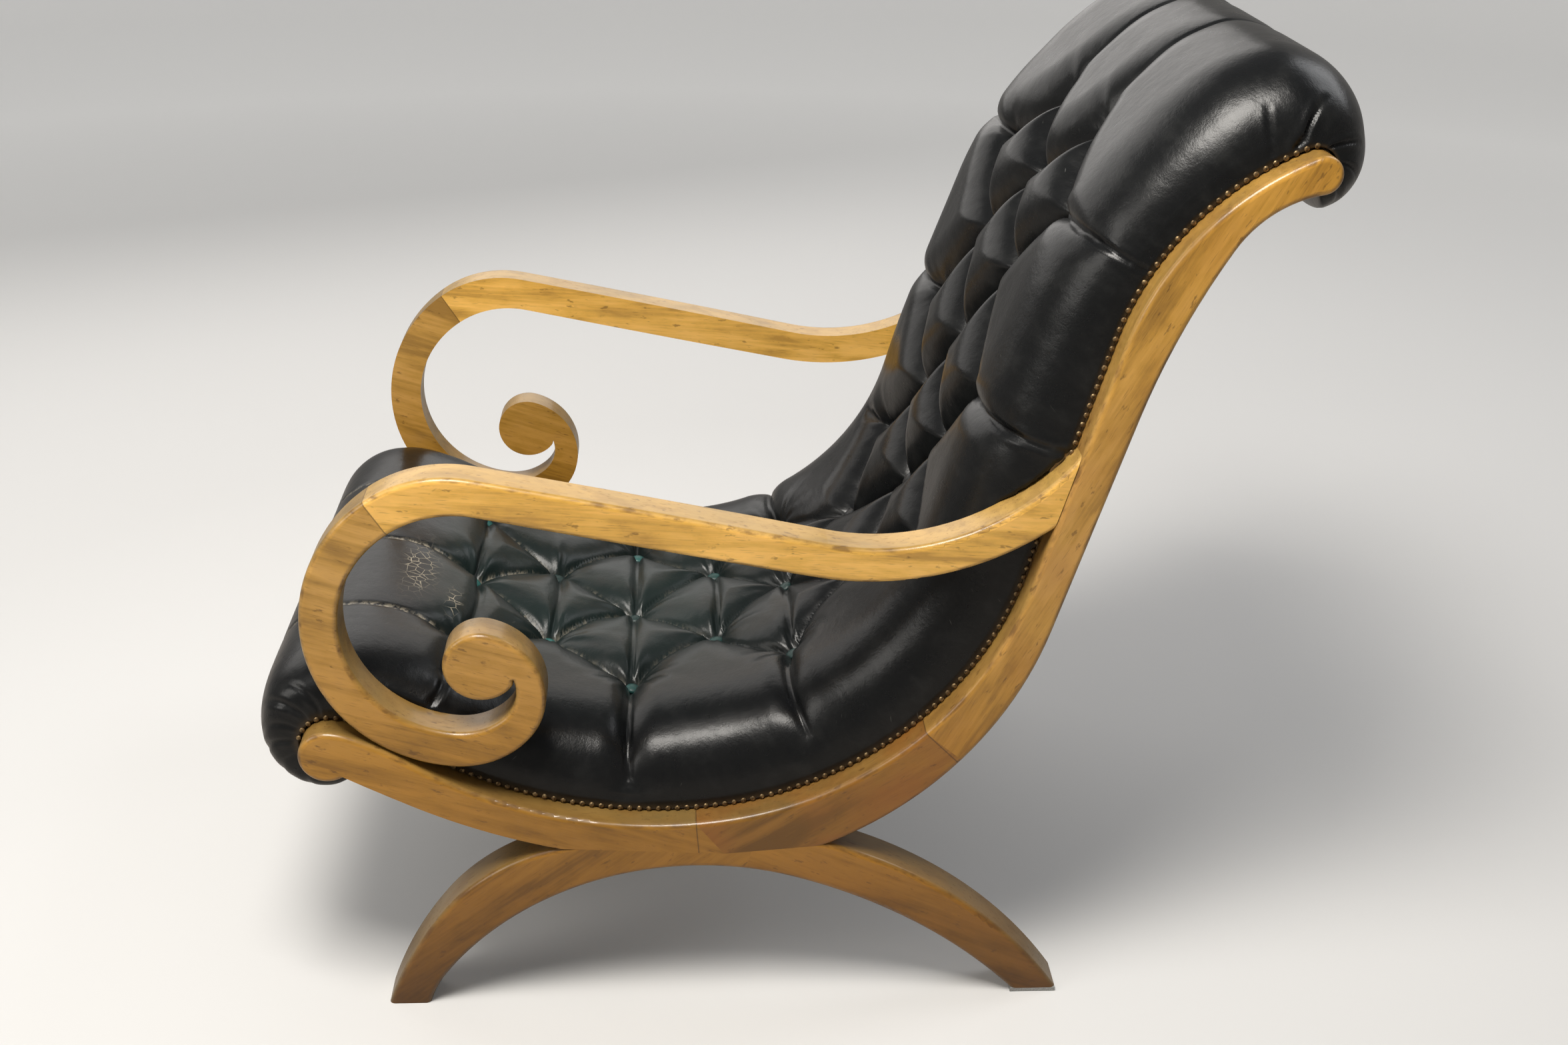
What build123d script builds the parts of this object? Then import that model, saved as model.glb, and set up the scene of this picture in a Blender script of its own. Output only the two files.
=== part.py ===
from build123d import *
import math
import os

# Driving sizes of the chair, in millimetres
frame_depth = 869.0
chair_width = 605.0
member_thickness = 38.0
edge_round = 5.0

# Arms and feet
arm_thickness = 34.0
arm_inset = 2.0
arm_round = 5.0
foot_pad_thickness = 4.0

# Inner tacking rails, let into the show wood
strip_width = 24.0
strip_rebate = 10.0
strip_proud = 14.0
strip_depth = 26.0

# Cross rails between the two sides
cross_rail_width = 32.0
stretcher_width = 62.0
stretcher_depth = 12.0
roll_rail_proud = 2.0

# Webbing, base cloth and covers
webbing_width = 50.0
webbing_space = 12.0
webbing_thickness = 1.6
cloth_thickness = 1.0
cover_thickness = 2.4
soft_gap = 0.3

# Tufted leather pad
skirt_thickness = 2.7
skirt_lift = 2.0
crown_height = 84.0

# Upholstery buttons
button_radius = 8.0
button_cone = 6.8
button_dome = 3.6
button_edge = 1.2
button_lift = 0.6
seat_row_count = 5

# Side view outlines: each point as shares of the frame's depth
heel_share = foot_pad_thickness / frame_depth
sitting_shares = [
    (-0.3960, 0.2903), (-0.4137, 0.3418), (-0.3908, 0.3376), (-0.3331, 0.3073),
    (-0.0082, 0.2306), (0.3009, 0.5022), (0.3709, 0.7539), (0.5326, 0.9374), (0.5423, 0.9022),
]
rail_bottom_shares = [(-0.3960, 0.2903), (-0.3306, 0.2552), (-0.1781, 0.1992)]
stile_back_shares = [
    (0.1053, 0.1991), (0.3253, 0.4521), (0.3931, 0.6820), (0.4657, 0.8492), (0.5423, 0.9022),
]
arch_shares = [(-0.3253, 0), (-0.3068, 0.0368), (0.0670, 0.1572), (0.3130, heel_share)]
front_leg_shares = [(-0.3704, 0), (-0.3047, 0.1201), (-0.1781, 0.1992)]
rear_leg_shares = [(0.1053, 0.1991), (0.1688, 0.1740), (0.3636, heel_share)]
arm_outer_shares = [
    (0.0952, 0.5498), (-0.2526, 0.6202), (-0.3558, 0.5981), (-0.4270, 0.4359),
    (-0.2845, 0.2989), (-0.2036, 0.3335), (-0.2423, 0.4519), (-0.2573, 0.3776),
    (-0.2217, 0.3917), (-0.2198, 0.3993),
]
arm_inner_shares = [
    (0.0847, 0.5134), (-0.2480, 0.5797), (-0.3336, 0.5631), (-0.3679, 0.5298),
    (-0.2827, 0.3395), (-0.2304, 0.3569), (-0.2214, 0.3692), (-0.2198, 0.3993),
]
crossing_shares = (-0.0058, 0.1899)

# Places along the outlines, counted in arcs from their start
strip_start_place_share = 2.0
scarf_place_share = 3.92
stile_joint_place_share = 4.55
stile_joint_back_share = 0.50
strip_joint_place_share = 4.66
arm_foot_place_share = 5.25
arm_top_place_share = 5.56
strip_end_place_share = 6.86
roll_start_place_share = 6.9
tip_end_place_share = 8.0
arm_joint_place_share = 3.0
scroll_top_place_share = 7.0
leg_joint_place_share = 1.88
leg_butt_share = 0.26
rear_rail_place_share = 4.42
waist_rail_place_share = 5.35
stretcher_place_share = 3.88

# Tuft rows: place on the sitting line, button height, crown height as shares
row_shares = [
    (3.04, 0.43, 0.78), (3.37, 0.50, 0.84), (3.70, 0.57, 0.91), (4.025, 0.68, 1.0),
    (4.28, 0.69, 1.0), (4.565, 0.69, 1.0), (4.85, 0.69, 1.0), (5.14, 0.68, 1.0),
    (5.51, 0.64, 0.96), (5.94, 0.57, 0.88), (6.25, 0.50, 0.83), (6.53, 0.50, 0.82),
]
front_roll_shares = [
    (0.06, 0.26, 0.28), (0.20, 0.36, 0.38), (0.40, 0.45, 0.47), (0.59, 0.50, 0.53),
    (0.67, 0.53, 0.555), (0.79, 0.57, 0.60), (1.0, 0.58, 0.62), (2.0, 0.58, 0.68),
    (2.5, 0.53, 0.73),
]
back_roll_shares = [
    (6.70, 0.62, 0.86), (6.88, 0.72, 0.90), (7.0, 0.74, 0.88), (7.17, 0.64, 0.75), (7.36, 0.52, 0.61),
    (7.475, 0.46, 0.54), (7.64, 0.43, 0.51), (7.79, 0.40, 0.48), (7.96, 0.36, 0.43),
]

# Stuffing across the pad: shares of the rise from button to crown, at quarter pitches
three_button_shares = [0, 0.75, 1, 0.75, 0, 0.62, 0.62]
two_button_shares = [1, 0.75, 0, 0.75, 1, 1, 0.85]
between_row_shares = [0.80, 0.40, 0.80, 0.40, 0.80, 0.90, 0.78]
shoulder_shares = [(0.905, 0.84), (0.975, 0.56), (1, 0.26)]
quarter_share = 0.25
button_pitch_share = 0.5225
least_turn = math.radians(0.6)


class Course:
    """Line of tangent arcs through a few points of the side view."""

    def __init__(self, shares, heading, start=None):
        corners = [(y * frame_depth, z * frame_depth) for y, z in shares]
        first = start or corners.pop(0)
        self.legs = []
        aim = math.radians(heading)
        for last in corners:
            chord = math.atan2(last[1] - first[1], last[0] - first[0])
            turn = 2 * math.remainder(chord - aim, math.tau)
            if abs(turn) < least_turn:
                span = math.dist(first, last)
                last = (first[0] + span * math.cos(aim), first[1] + span * math.sin(aim))
                turn = 0
            self.legs.append((first, last, aim, turn))
            aim += turn
            first = last

    def leg(self, place):
        """Number of the arc that holds a place."""
        return min(int(place), len(self.legs) - 1)

    def aim(self, place):
        """Direction of travel at a place, in radians."""
        first, last, aim, turn = self.legs[self.leg(place)]
        return aim + turn * (place - self.leg(place))

    def length(self, number):
        """Length of one arc."""
        first, last, aim, turn = self.legs[number]
        span = math.dist(first, last)
        return span * turn / (2 * math.sin(turn / 2)) if abs(turn) > least_turn else span

    def at(self, place, shift=0):
        """Point at a place, moved to the left of travel by shift."""
        first, last, first_aim, turn = self.legs[self.leg(place)]
        share = place - self.leg(place)
        aim = self.aim(place)
        if abs(turn) > least_turn:
            radius = math.dist(first, last) / (2 * math.sin(turn / 2))
            y = first[0] + radius * (math.sin(aim) - math.sin(first_aim))
            z = first[1] - radius * (math.cos(aim) - math.cos(first_aim))
        else:
            y = first[0] + share * (last[0] - first[0])
            z = first[1] + share * (last[1] - first[1])
        return (y - shift * math.sin(aim), z + shift * math.cos(aim))

    def place_after(self, place, distance):
        """Place that lies a distance further along the line."""
        number = self.leg(place)
        ahead = self.length(number) * (number + 1 - place)
        while distance > ahead and number < len(self.legs) - 1:
            distance -= ahead
            number += 1
            place = float(number)
            ahead = self.length(number)
        return place + distance / self.length(number)

    def draw(self, first, last, shift=0):
        """Draw the stretch between two places into the open line."""
        nodes = [float(k) for k in range(1, len(self.legs)) if first < k < last]
        stops = [first] + nodes + [last]
        for low, high in zip(stops, stops[1:]):
            if abs(self.legs[self.leg(low)][3]) > least_turn:
                halfway = self.at((low + high) / 2, shift)
                ThreePointArc(self.at(low, shift), halfway, self.at(high, shift))
            else:
                Line(self.at(low, shift), self.at(high, shift))

    def band(self, first, last, low, high):
        """Draw a closed band beside the line, from shift low to shift high."""
        self.draw(first, last, low)
        self.draw(first, last, high)
        Line(self.at(first, low), self.at(first, high))
        Line(self.at(last, low), self.at(last, high))

    def gap(self, point):
        """Least distance from a point of the side view to the line."""
        found = [math.dist(point, corner) for leg in self.legs for corner in leg[:2]]
        for first, last, aim, turn in self.legs:
            if abs(turn) > least_turn:
                radius = math.dist(first, last) / (2 * math.sin(turn / 2))
                centre = (first[0] - radius * math.sin(aim), first[1] + radius * math.cos(aim))
                across = (point[0] - centre[0]) / radius
                down = (centre[1] - point[1]) / radius
                swept = math.copysign(1, turn) * (math.atan2(across, down) - aim)
                share = swept % math.tau / abs(turn)
                distance = abs(math.dist(point, centre) - abs(radius))
            else:
                span = math.dist(first, last)
                ahead = [(b - a) / span for a, b in zip(first, last)]
                away = [p - a for p, a in zip(point, first)]
                share = (away[0] * ahead[0] + away[1] * ahead[1]) / span
                distance = abs(away[0] * ahead[1] - away[1] * ahead[0])
            if 0 < share < 1:
                found.append(distance)
        return min(found)


sitting = Course(sitting_shares, 218)
rail_bottom = Course(rail_bottom_shares, -29.2)
stile_back = Course(stile_back_shares, 24.4)
arch = Course(arch_shares, 73.5)
front_leg_top = Course(front_leg_shares, 71.2)
rear_leg_top = Course(rear_leg_shares, -17.5)
arm_outer = Course(arm_outer_shares, 233.7, sitting.at(arm_top_place_share))
arm_inner = Course(arm_inner_shares, 215.9, sitting.at(arm_foot_place_share))
crossing = tuple(share * frame_depth for share in crossing_shares)
front_crotch = rail_bottom.at(2)
rear_crotch = stile_back.at(0)
leg_butt = tuple(a + leg_butt_share * (b - a) for a, b in zip(crossing, rear_crotch))

# Faces of the side frames along X
outer_face = chair_width / 2
inner_face = outer_face - member_thickness
strip_face = inner_face + strip_rebate
strip_back = strip_face - strip_width
arm_face = outer_face - arm_inset - arm_thickness

# The leather comes down outside the tacking rails, and the tufts share its width
pad_half_width = strip_face + soft_gap + skirt_thickness
button_pitch = button_pitch_share * pad_half_width

# The origin lies on the floor, midway between the front roll and the back roll
front_limit = min(sitting.at(p, crown * crown_height)[0] for p, pit, crown in front_roll_shares)
back_limit = max(sitting.at(p, crown * crown_height)[0] for p, pit, crown in back_roll_shares)
middle = (front_limit + back_limit) / 2
side_view = Plane(origin=(0, -middle, 0), x_dir=(0, 1, 0), z_dir=(1, 0, 0))


def edges_on(part, face_x, courses):
    """Edges of a part that lie on the side face at face_x and follow the courses."""
    found = []
    for edge in part.edges():
        ends = [edge.position_at(share) for share in (0.1, 0.5, 0.9)]
        if any(abs(spot.X - face_x) > soft_gap for spot in ends):
            continue
        spots = [(spot.Y + middle, spot.Z) for spot in ends]
        if any(all(course.gap(spot) < soft_gap * 2 for spot in spots) for course in courses):
            found.append(edge)
    return found


# Room beside the upholstery for the scroll's foot
with BuildPart() as scroll_room:
    with BuildSketch(side_view.offset(arm_face - soft_gap)):
        with BuildLine():
            arm_outer.draw(arm_joint_place_share, scroll_top_place_share, -soft_gap)
            first = arm_outer.at(arm_joint_place_share, -soft_gap)
            Line(first, arm_outer.at(scroll_top_place_share, -soft_gap))
        make_face()
    extrude(amount=arm_thickness)

# Tacking rails of the left side, before they are notched for the arm
with BuildPart() as seat_strip_block:
    with BuildSketch(side_view.offset(strip_back)):
        with BuildLine():
            sitting.band(strip_start_place_share, strip_joint_place_share, -strip_depth, strip_proud)
        make_face()
    extrude(amount=strip_width)

with BuildPart() as back_strip_block:
    with BuildSketch(side_view.offset(strip_back)):
        with BuildLine():
            sitting.band(strip_joint_place_share, strip_end_place_share, -strip_depth, strip_proud)
        make_face()
    extrude(amount=strip_width)

# Front seat rail, from the round nose to the scarf over the crossing
with BuildPart() as front_rail_block:
    with BuildSketch(side_view.offset(inner_face)):
        with BuildLine():
            sitting.draw(0, scarf_place_share)
            Polyline(sitting.at(scarf_place_share), crossing, front_crotch)
            rail_bottom.draw(0, 2)
        make_face()
    extrude(amount=member_thickness)

with BuildPart() as front_seat_rail:
    add(front_rail_block.part)
    add(seat_strip_block.part, mode=Mode.SUBTRACT)
    fillet(edges_on(front_seat_rail.part, outer_face, [sitting]), edge_round)

# Rear seat rail, from the scarf up to the joint under the stile
with BuildPart() as rear_seat_rail:
    with BuildSketch(side_view.offset(inner_face)):
        with BuildLine():
            sitting.draw(scarf_place_share, stile_joint_place_share)
            Line(sitting.at(stile_joint_place_share), stile_back.at(stile_joint_back_share))
            stile_back.draw(0, stile_joint_back_share)
            Polyline(rear_crotch, crossing, sitting.at(scarf_place_share))
        make_face()
    extrude(amount=member_thickness)
    add(seat_strip_block.part, mode=Mode.SUBTRACT)
    fillet(edges_on(rear_seat_rail.part, outer_face, [sitting, stile_back]), edge_round)

# Back stile, with the rolled tip at the top
with BuildPart() as back_stile:
    with BuildSketch(side_view.offset(inner_face)):
        with BuildLine():
            sitting.draw(stile_joint_place_share, tip_end_place_share)
            stile_back.draw(stile_joint_back_share, 4)
            Line(sitting.at(stile_joint_place_share), stile_back.at(stile_joint_back_share))
        make_face()
    extrude(amount=member_thickness)
    add(seat_strip_block.part, mode=Mode.SUBTRACT)
    add(back_strip_block.part, mode=Mode.SUBTRACT)
    fillet(edges_on(back_stile.part, outer_face, [sitting, stile_back]), edge_round)

# Front leg, the front half of the arched base
with BuildPart() as front_leg:
    with BuildSketch(side_view.offset(inner_face)):
        with BuildLine():
            front_leg_top.draw(0, 2)
            Polyline(front_crotch, crossing, leg_butt, arch.at(leg_joint_place_share))
            arch.draw(0, leg_joint_place_share)
            Line(arch.at(0), front_leg_top.at(0))
        make_face()
    extrude(amount=member_thickness)
    fillet(edges_on(front_leg.part, outer_face, [front_leg_top, arch]), edge_round)

# Rear leg, the rear half of the base, standing on a thin pad
with BuildPart() as rear_leg:
    with BuildSketch(side_view.offset(inner_face)):
        with BuildLine():
            rear_leg_top.draw(0, 2)
            Line(rear_leg_top.at(2), arch.at(3))
            arch.draw(leg_joint_place_share, 3)
            Polyline(arch.at(leg_joint_place_share), leg_butt, rear_crotch)
        make_face()
    extrude(amount=member_thickness)
    fillet(edges_on(rear_leg.part, outer_face, [rear_leg_top, arch]), edge_round)

with BuildPart() as foot_pad:
    with BuildSketch(side_view.offset(inner_face)):
        with BuildLine():
            toe = arch.at(3)
            heel = rear_leg_top.at(2)
            Polyline(toe, heel, (heel[0], 0), (toe[0], 0), close=True)
        make_face()
    extrude(amount=member_thickness)

# Arm rail, butted against the front face of the stile
with BuildPart() as arm_rail_block:
    with BuildSketch(side_view.offset(arm_face)):
        with BuildLine():
            arm_outer.draw(0, arm_joint_place_share)
            Line(arm_outer.at(arm_joint_place_share), arm_inner.at(arm_joint_place_share))
            arm_inner.draw(0, arm_joint_place_share)
            Line(arm_inner.at(0), arm_outer.at(0))
        make_face()
    extrude(amount=arm_thickness)

with BuildPart() as arm_rail:
    add(arm_rail_block.part)
    fillet(edges_on(arm_rail.part, arm_face + arm_thickness, [arm_outer, arm_inner]), arm_round)

# Scroll at the front of the arm, resting on the seat rail
with BuildPart() as arm_scroll:
    with BuildSketch(side_view.offset(arm_face)):
        with BuildLine():
            arm_outer.draw(arm_joint_place_share, 10)
            arm_inner.draw(arm_joint_place_share, 8)
            Line(arm_outer.at(arm_joint_place_share), arm_inner.at(arm_joint_place_share))
        make_face()
    extrude(amount=arm_thickness)
    fillet(edges_on(arm_scroll.part, arm_face + arm_thickness, [arm_outer, arm_inner]), arm_round)
    add(front_rail_block.part, mode=Mode.SUBTRACT)

with BuildPart() as seat_strip:
    add(seat_strip_block.part)
    add(scroll_room.part, mode=Mode.SUBTRACT)

with BuildPart() as back_strip:
    add(back_strip_block.part)
    add(arm_rail_block.part, mode=Mode.SUBTRACT)

# Both sides are alike: the right one mirrors the left
side_pieces = {
    "front_seat_rail": front_seat_rail.part,
    "rear_seat_rail": rear_seat_rail.part,
    "back_stile": back_stile.part,
    "front_leg": front_leg.part,
    "rear_leg": rear_leg.part,
    "rear_foot_pad": foot_pad.part,
    "arm_rail": arm_rail.part,
    "arm_scroll": arm_scroll.part,
    "seat_tacking_rail": seat_strip.part,
    "back_tacking_rail": back_strip.part,
}


def crosswise(half_width):
    """Plane of the side view at the right end of a piece that runs across the chair."""
    return side_view.offset(-half_width)


def places_about(place, width):
    """Places at both edges of a piece of some width about a place."""
    reach = width / 2 / sitting.length(sitting.leg(place))
    return place - reach, place + reach


# Cross rails between the tacking rails
with BuildPart() as rear_seat_cross_rail:
    with BuildSketch(crosswise(strip_back)):
        with BuildLine():
            low, high = places_about(rear_rail_place_share, cross_rail_width)
            sitting.band(low, high, -strip_depth, strip_proud)
        make_face()
    extrude(amount=2 * strip_back)

with BuildPart() as waist_cross_rail:
    with BuildSketch(crosswise(strip_back)):
        with BuildLine():
            low, high = places_about(waist_rail_place_share, cross_rail_width)
            sitting.band(low, high, -strip_depth, strip_proud)
        make_face()
    extrude(amount=2 * strip_back)

# Rails inside the front roll and the back roll, between the show wood
with BuildPart() as front_cross_rail:
    with BuildSketch(crosswise(inner_face)):
        with BuildLine():
            sitting.draw(0, strip_start_place_share, roll_rail_proud)
            Polyline(
                sitting.at(strip_start_place_share, roll_rail_proud),
                sitting.at(strip_start_place_share, -strip_depth),
                sitting.at(0, roll_rail_proud),
            )
        make_face()
    extrude(amount=2 * inner_face)

with BuildPart() as crest_rail:
    with BuildSketch(crosswise(inner_face)):
        with BuildLine():
            sitting.draw(strip_end_place_share, tip_end_place_share, roll_rail_proud)
            Polyline(
                sitting.at(tip_end_place_share, roll_rail_proud),
                sitting.at(strip_end_place_share, -strip_depth),
                sitting.at(strip_end_place_share, roll_rail_proud),
            )
        make_face()
    extrude(amount=2 * inner_face)

# Flat stretcher under the crossing of the base
with BuildPart() as stretcher:
    with BuildSketch(crosswise(inner_face)):
        with BuildLine():
            low, high = places_about(stretcher_place_share, stretcher_width)
            top = -strip_depth - cover_thickness
            sitting.band(low, high, top - stretcher_depth, top)
        make_face()
    extrude(amount=2 * inner_face)

# Webbing across the seat and the back
with BuildPart() as seat_webbing:
    place = sitting.place_after(strip_start_place_share, webbing_space)
    while sitting.place_after(place, webbing_width) < strip_joint_place_share:
        end = sitting.place_after(place, webbing_width)
        with BuildSketch(crosswise(arm_face - soft_gap)):
            with BuildLine():
                sitting.band(place, end, strip_proud, strip_proud + webbing_thickness)
            make_face()
        extrude(amount=2 * (arm_face - soft_gap))
        place = sitting.place_after(end, webbing_space)

with BuildPart() as back_webbing:
    place = sitting.place_after(strip_joint_place_share, webbing_space)
    while sitting.place_after(place, webbing_width) < strip_end_place_share:
        end = sitting.place_after(place, webbing_width)
        with BuildSketch(crosswise(arm_face - soft_gap)):
            with BuildLine():
                sitting.band(place, end, strip_proud, strip_proud + webbing_thickness)
            make_face()
        extrude(amount=2 * (arm_face - soft_gap))
        place = sitting.place_after(end, webbing_space)

# Base cloth over the webbing, under the stuffing
cloth_foot = strip_proud + webbing_thickness + soft_gap
with BuildPart() as base_cloth:
    with BuildSketch(crosswise(arm_face - soft_gap)):
        with BuildLine():
            first = sitting.place_after(strip_start_place_share, webbing_space)
            sitting.band(first, strip_end_place_share, cloth_foot, cloth_foot + cloth_thickness)
        make_face()
    extrude(amount=2 * (arm_face - soft_gap))

# Covers under the seat and behind the back
with BuildPart() as bottom_cover:
    with BuildSketch(crosswise(inner_face - soft_gap)):
        with BuildLine():
            first = sitting.place_after(strip_start_place_share, webbing_space)
            last = strip_joint_place_share
            sitting.band(first, last, -strip_depth - cover_thickness, -strip_depth)
        make_face()
    extrude(amount=2 * (inner_face - soft_gap))

with BuildPart() as outside_back:
    with BuildSketch(crosswise(inner_face - soft_gap)):
        with BuildLine():
            first = sitting.place_after(strip_joint_place_share, soft_gap)
            last = strip_end_place_share
            sitting.band(first, last, -strip_depth - cover_thickness, -strip_depth)
        make_face()
    extrude(amount=2 * (inner_face - soft_gap))

# Tufted leather pad: sections across the chair, one at each row and between rows
bed = cloth_foot + cloth_thickness + soft_gap
quarter = quarter_share * button_pitch


def stuffing(pit, crown, pattern):
    """Heights across half the pad, at quarter pitches from the middle."""
    return [crown_height * (pit + (crown - pit) * share) for share in pattern]


def row_pattern(number):
    """Odd rows from the front have three buttons, even rows have two."""
    return two_button_shares if number % 2 else three_button_shares


stations = [(p, stuffing(pit, crown, three_button_shares)) for p, pit, crown in front_roll_shares]
for number, (place, pit, crown) in enumerate(row_shares):
    if number:
        before = row_shares[number - 1]
        halves = [(a + b) / 2 for a, b in zip(before, (place, pit, crown))]
        stations.append((halves[0], stuffing(halves[1], halves[2], between_row_shares)))
    stations.append((place, stuffing(pit, crown, row_pattern(number))))
stations += [(p, stuffing(pit, crown, two_button_shares)) for p, pit, crown in back_roll_shares]
places = [place for place, heights in stations]


def sag(index):
    """How far the straight stretches beside a section cut the corner of a round one."""
    worst = 0
    for other in (index - 1, index + 1):
        if 0 <= other < len(places):
            here = sitting.at(places[index], bed)
            there = sitting.at(places[other], bed)
            bend = abs(sitting.aim(places[index]) - sitting.aim(places[other]))
            worst = max(worst, math.dist(here, there) * math.tan(bend / 4) / 2)
    return worst


# Room beside the pad where the arm meets the stile
with BuildPart() as left_arm_room:
    with BuildSketch(side_view.offset(arm_face - soft_gap)):
        with BuildLine():
            arm_outer.draw(0, 1, -soft_gap)
            Line(arm_outer.at(1, -soft_gap), arm_inner.at(1, soft_gap))
            arm_inner.draw(0, 1, soft_gap)
            Line(arm_inner.at(0, soft_gap), arm_outer.at(0, -soft_gap))
        make_face()
    extrude(amount=arm_thickness)

with BuildPart() as leather_pad:
    for index, (place, heights) in enumerate(stations):
        y, z = sitting.at(place)
        aim = sitting.aim(place)
        back = (0, -math.cos(aim), -math.sin(aim))
        in_rolls = place < strip_start_place_share or place > roll_start_place_share
        floor = (skirt_lift + roll_rail_proud if in_rolls else bed) + sag(index)
        foot = skirt_lift + (sag(index) if in_rolls else 0)
        crest = [(quarter * k, height) for k, height in enumerate(heights)]
        crest += [(pad_half_width * x, heights[-1] * h) for x, h in shoulder_shares]
        lining = pad_half_width - skirt_thickness
        low = max(floor, foot + soft_gap)
        crest = [(x, max(height, low + cover_thickness)) for x, height in crest]
        half = crest + [(pad_half_width, foot), (lining, foot), (lining, low)]
        outline = half + [(-x, height) for x, height in reversed(half[1:])]
        with BuildSketch(Plane(origin=(0, y - middle, z), x_dir=(1, 0, 0), z_dir=back)):
            with BuildLine():
                Polyline(*outline, close=True)
            make_face()
    loft(ruled=True)
    add(left_arm_room.part, mode=Mode.SUBTRACT)
    mirror(left_arm_room.part, about=Plane.YZ, mode=Mode.SUBTRACT)
    add(scroll_room.part, mode=Mode.SUBTRACT)
    mirror(scroll_room.part, about=Plane.YZ, mode=Mode.SUBTRACT)

# One button: a low dome on a cone that fits the bottom of a tuft
dome_radius = (button_radius**2 + button_dome**2) / (2 * button_dome)
with BuildPart() as button:
    with BuildSketch(Plane.XZ):
        with BuildLine():
            rim = button_cone + button_edge
            Polyline((0, rim + button_dome), (0, 0), (button_radius, button_cone), (button_radius, rim))
            RadiusArc((button_radius, rim), (0, rim + button_dome), -dome_radius)
        make_face()
    revolve(axis=Axis.Z)


def button_places(numbers):
    """Placing of every button in the numbered rows."""
    spots = []
    for number in numbers:
        place, pit, crown = row_shares[number]
        y, z = sitting.at(place, pit * crown_height + button_lift)
        aim = sitting.aim(place)
        across = (-0.5, 0.5) if number % 2 else (-1, 0, 1)
        for share in across:
            seat = Plane(
                origin=(share * button_pitch, y - middle, z),
                x_dir=(1, 0, 0),
                z_dir=(0, -math.sin(aim), math.cos(aim)),
            )
            spots.append(seat.location)
    return spots


with BuildPart() as seat_buttons:
    with Locations(*button_places(range(seat_row_count))):
        add(button.part)

with BuildPart() as back_buttons:
    with Locations(*button_places(range(seat_row_count, len(row_shares)))):
        add(button.part)

os.makedirs("parts", exist_ok=True)
middle_pieces = {
    "front_cross_rail": front_cross_rail.part,
    "rear_seat_cross_rail": rear_seat_cross_rail.part,
    "waist_cross_rail": waist_cross_rail.part,
    "crest_rail": crest_rail.part,
    "stretcher": stretcher.part,
    "seat_webbing": seat_webbing.part,
    "back_webbing": back_webbing.part,
    "base_cloth": base_cloth.part,
    "bottom_cover": bottom_cover.part,
    "outside_back": outside_back.part,
    "leather_pad": leather_pad.part,
    "seat_buttons": seat_buttons.part,
    "back_buttons": back_buttons.part,
}
for name, piece in side_pieces.items():
    with BuildPart() as mirrored:
        mirror(piece, about=Plane.YZ)
    piece.label = "left_" + name
    mirrored.part.label = "right_" + name
    export_step(piece, "parts/left_" + name + ".step")
    export_step(mirrored.part, "parts/right_" + name + ".step")
for name, piece in middle_pieces.items():
    piece.label = name
    export_step(piece, "parts/" + name + ".step")
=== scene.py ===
"""Looks of a scroll-armed lounge chair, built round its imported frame."""

import logging
import math
from collections.abc import Iterable, Sequence
from dataclasses import dataclass, field
from enum import Enum
from functools import partialmethod

import bpy
import numpy as np
from mathutils import Matrix, Vector


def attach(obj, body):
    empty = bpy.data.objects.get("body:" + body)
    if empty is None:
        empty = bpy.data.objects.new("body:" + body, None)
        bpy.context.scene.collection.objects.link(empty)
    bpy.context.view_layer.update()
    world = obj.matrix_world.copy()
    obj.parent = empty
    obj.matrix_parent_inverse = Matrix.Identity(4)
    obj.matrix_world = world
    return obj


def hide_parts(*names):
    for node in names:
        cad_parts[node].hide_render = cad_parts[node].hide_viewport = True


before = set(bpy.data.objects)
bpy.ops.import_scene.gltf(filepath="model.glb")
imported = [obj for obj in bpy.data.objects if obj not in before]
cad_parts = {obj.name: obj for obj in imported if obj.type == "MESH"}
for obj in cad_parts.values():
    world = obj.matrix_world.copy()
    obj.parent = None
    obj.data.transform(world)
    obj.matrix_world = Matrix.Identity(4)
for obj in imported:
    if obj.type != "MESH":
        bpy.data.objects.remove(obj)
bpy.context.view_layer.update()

log = logging.getLogger("chair")

Colour = tuple[float, float, float, float]
Spot = tuple[float, float]
Table = Sequence[Sequence[float]]
Band = tuple[np.ndarray, np.ndarray]

# Driving sizes of the chair in metres, as the frame has them
DEPTH = 0.869
WIDTH = 0.605
MEMBER = 0.038
ARM = 0.034
ARM_FACE = WIDTH / 2 - 0.002 - ARM
STRIP_FACE = WIDTH / 2 - MEMBER + 0.010
STRIP_PROUD = 0.014
STRIP_DEPTH = 0.026
COVER = 0.0024
GAP = 0.0003
WEBBING = 0.0016
BASE_CLOTH = 0.001
PAD_HALF = STRIP_FACE + 0.003
PITCH = 0.5225 * PAD_HALF
CROWN = 0.084
BODY = "root"


class Side(Enum):
    """Sitter's side of the chair."""

    LEFT = 1
    RIGHT = -1


class Grain(Enum):
    """Way the grain runs in a piece of the frame: turn about X from straight back, in degrees."""

    SEAT = -17
    SWEEP = 33
    STILE = 62
    LEG = 38
    HIND = -24
    ARM = -4
    CROSS = 0


# ------------------------------------------------------------ lines of the side view


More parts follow.
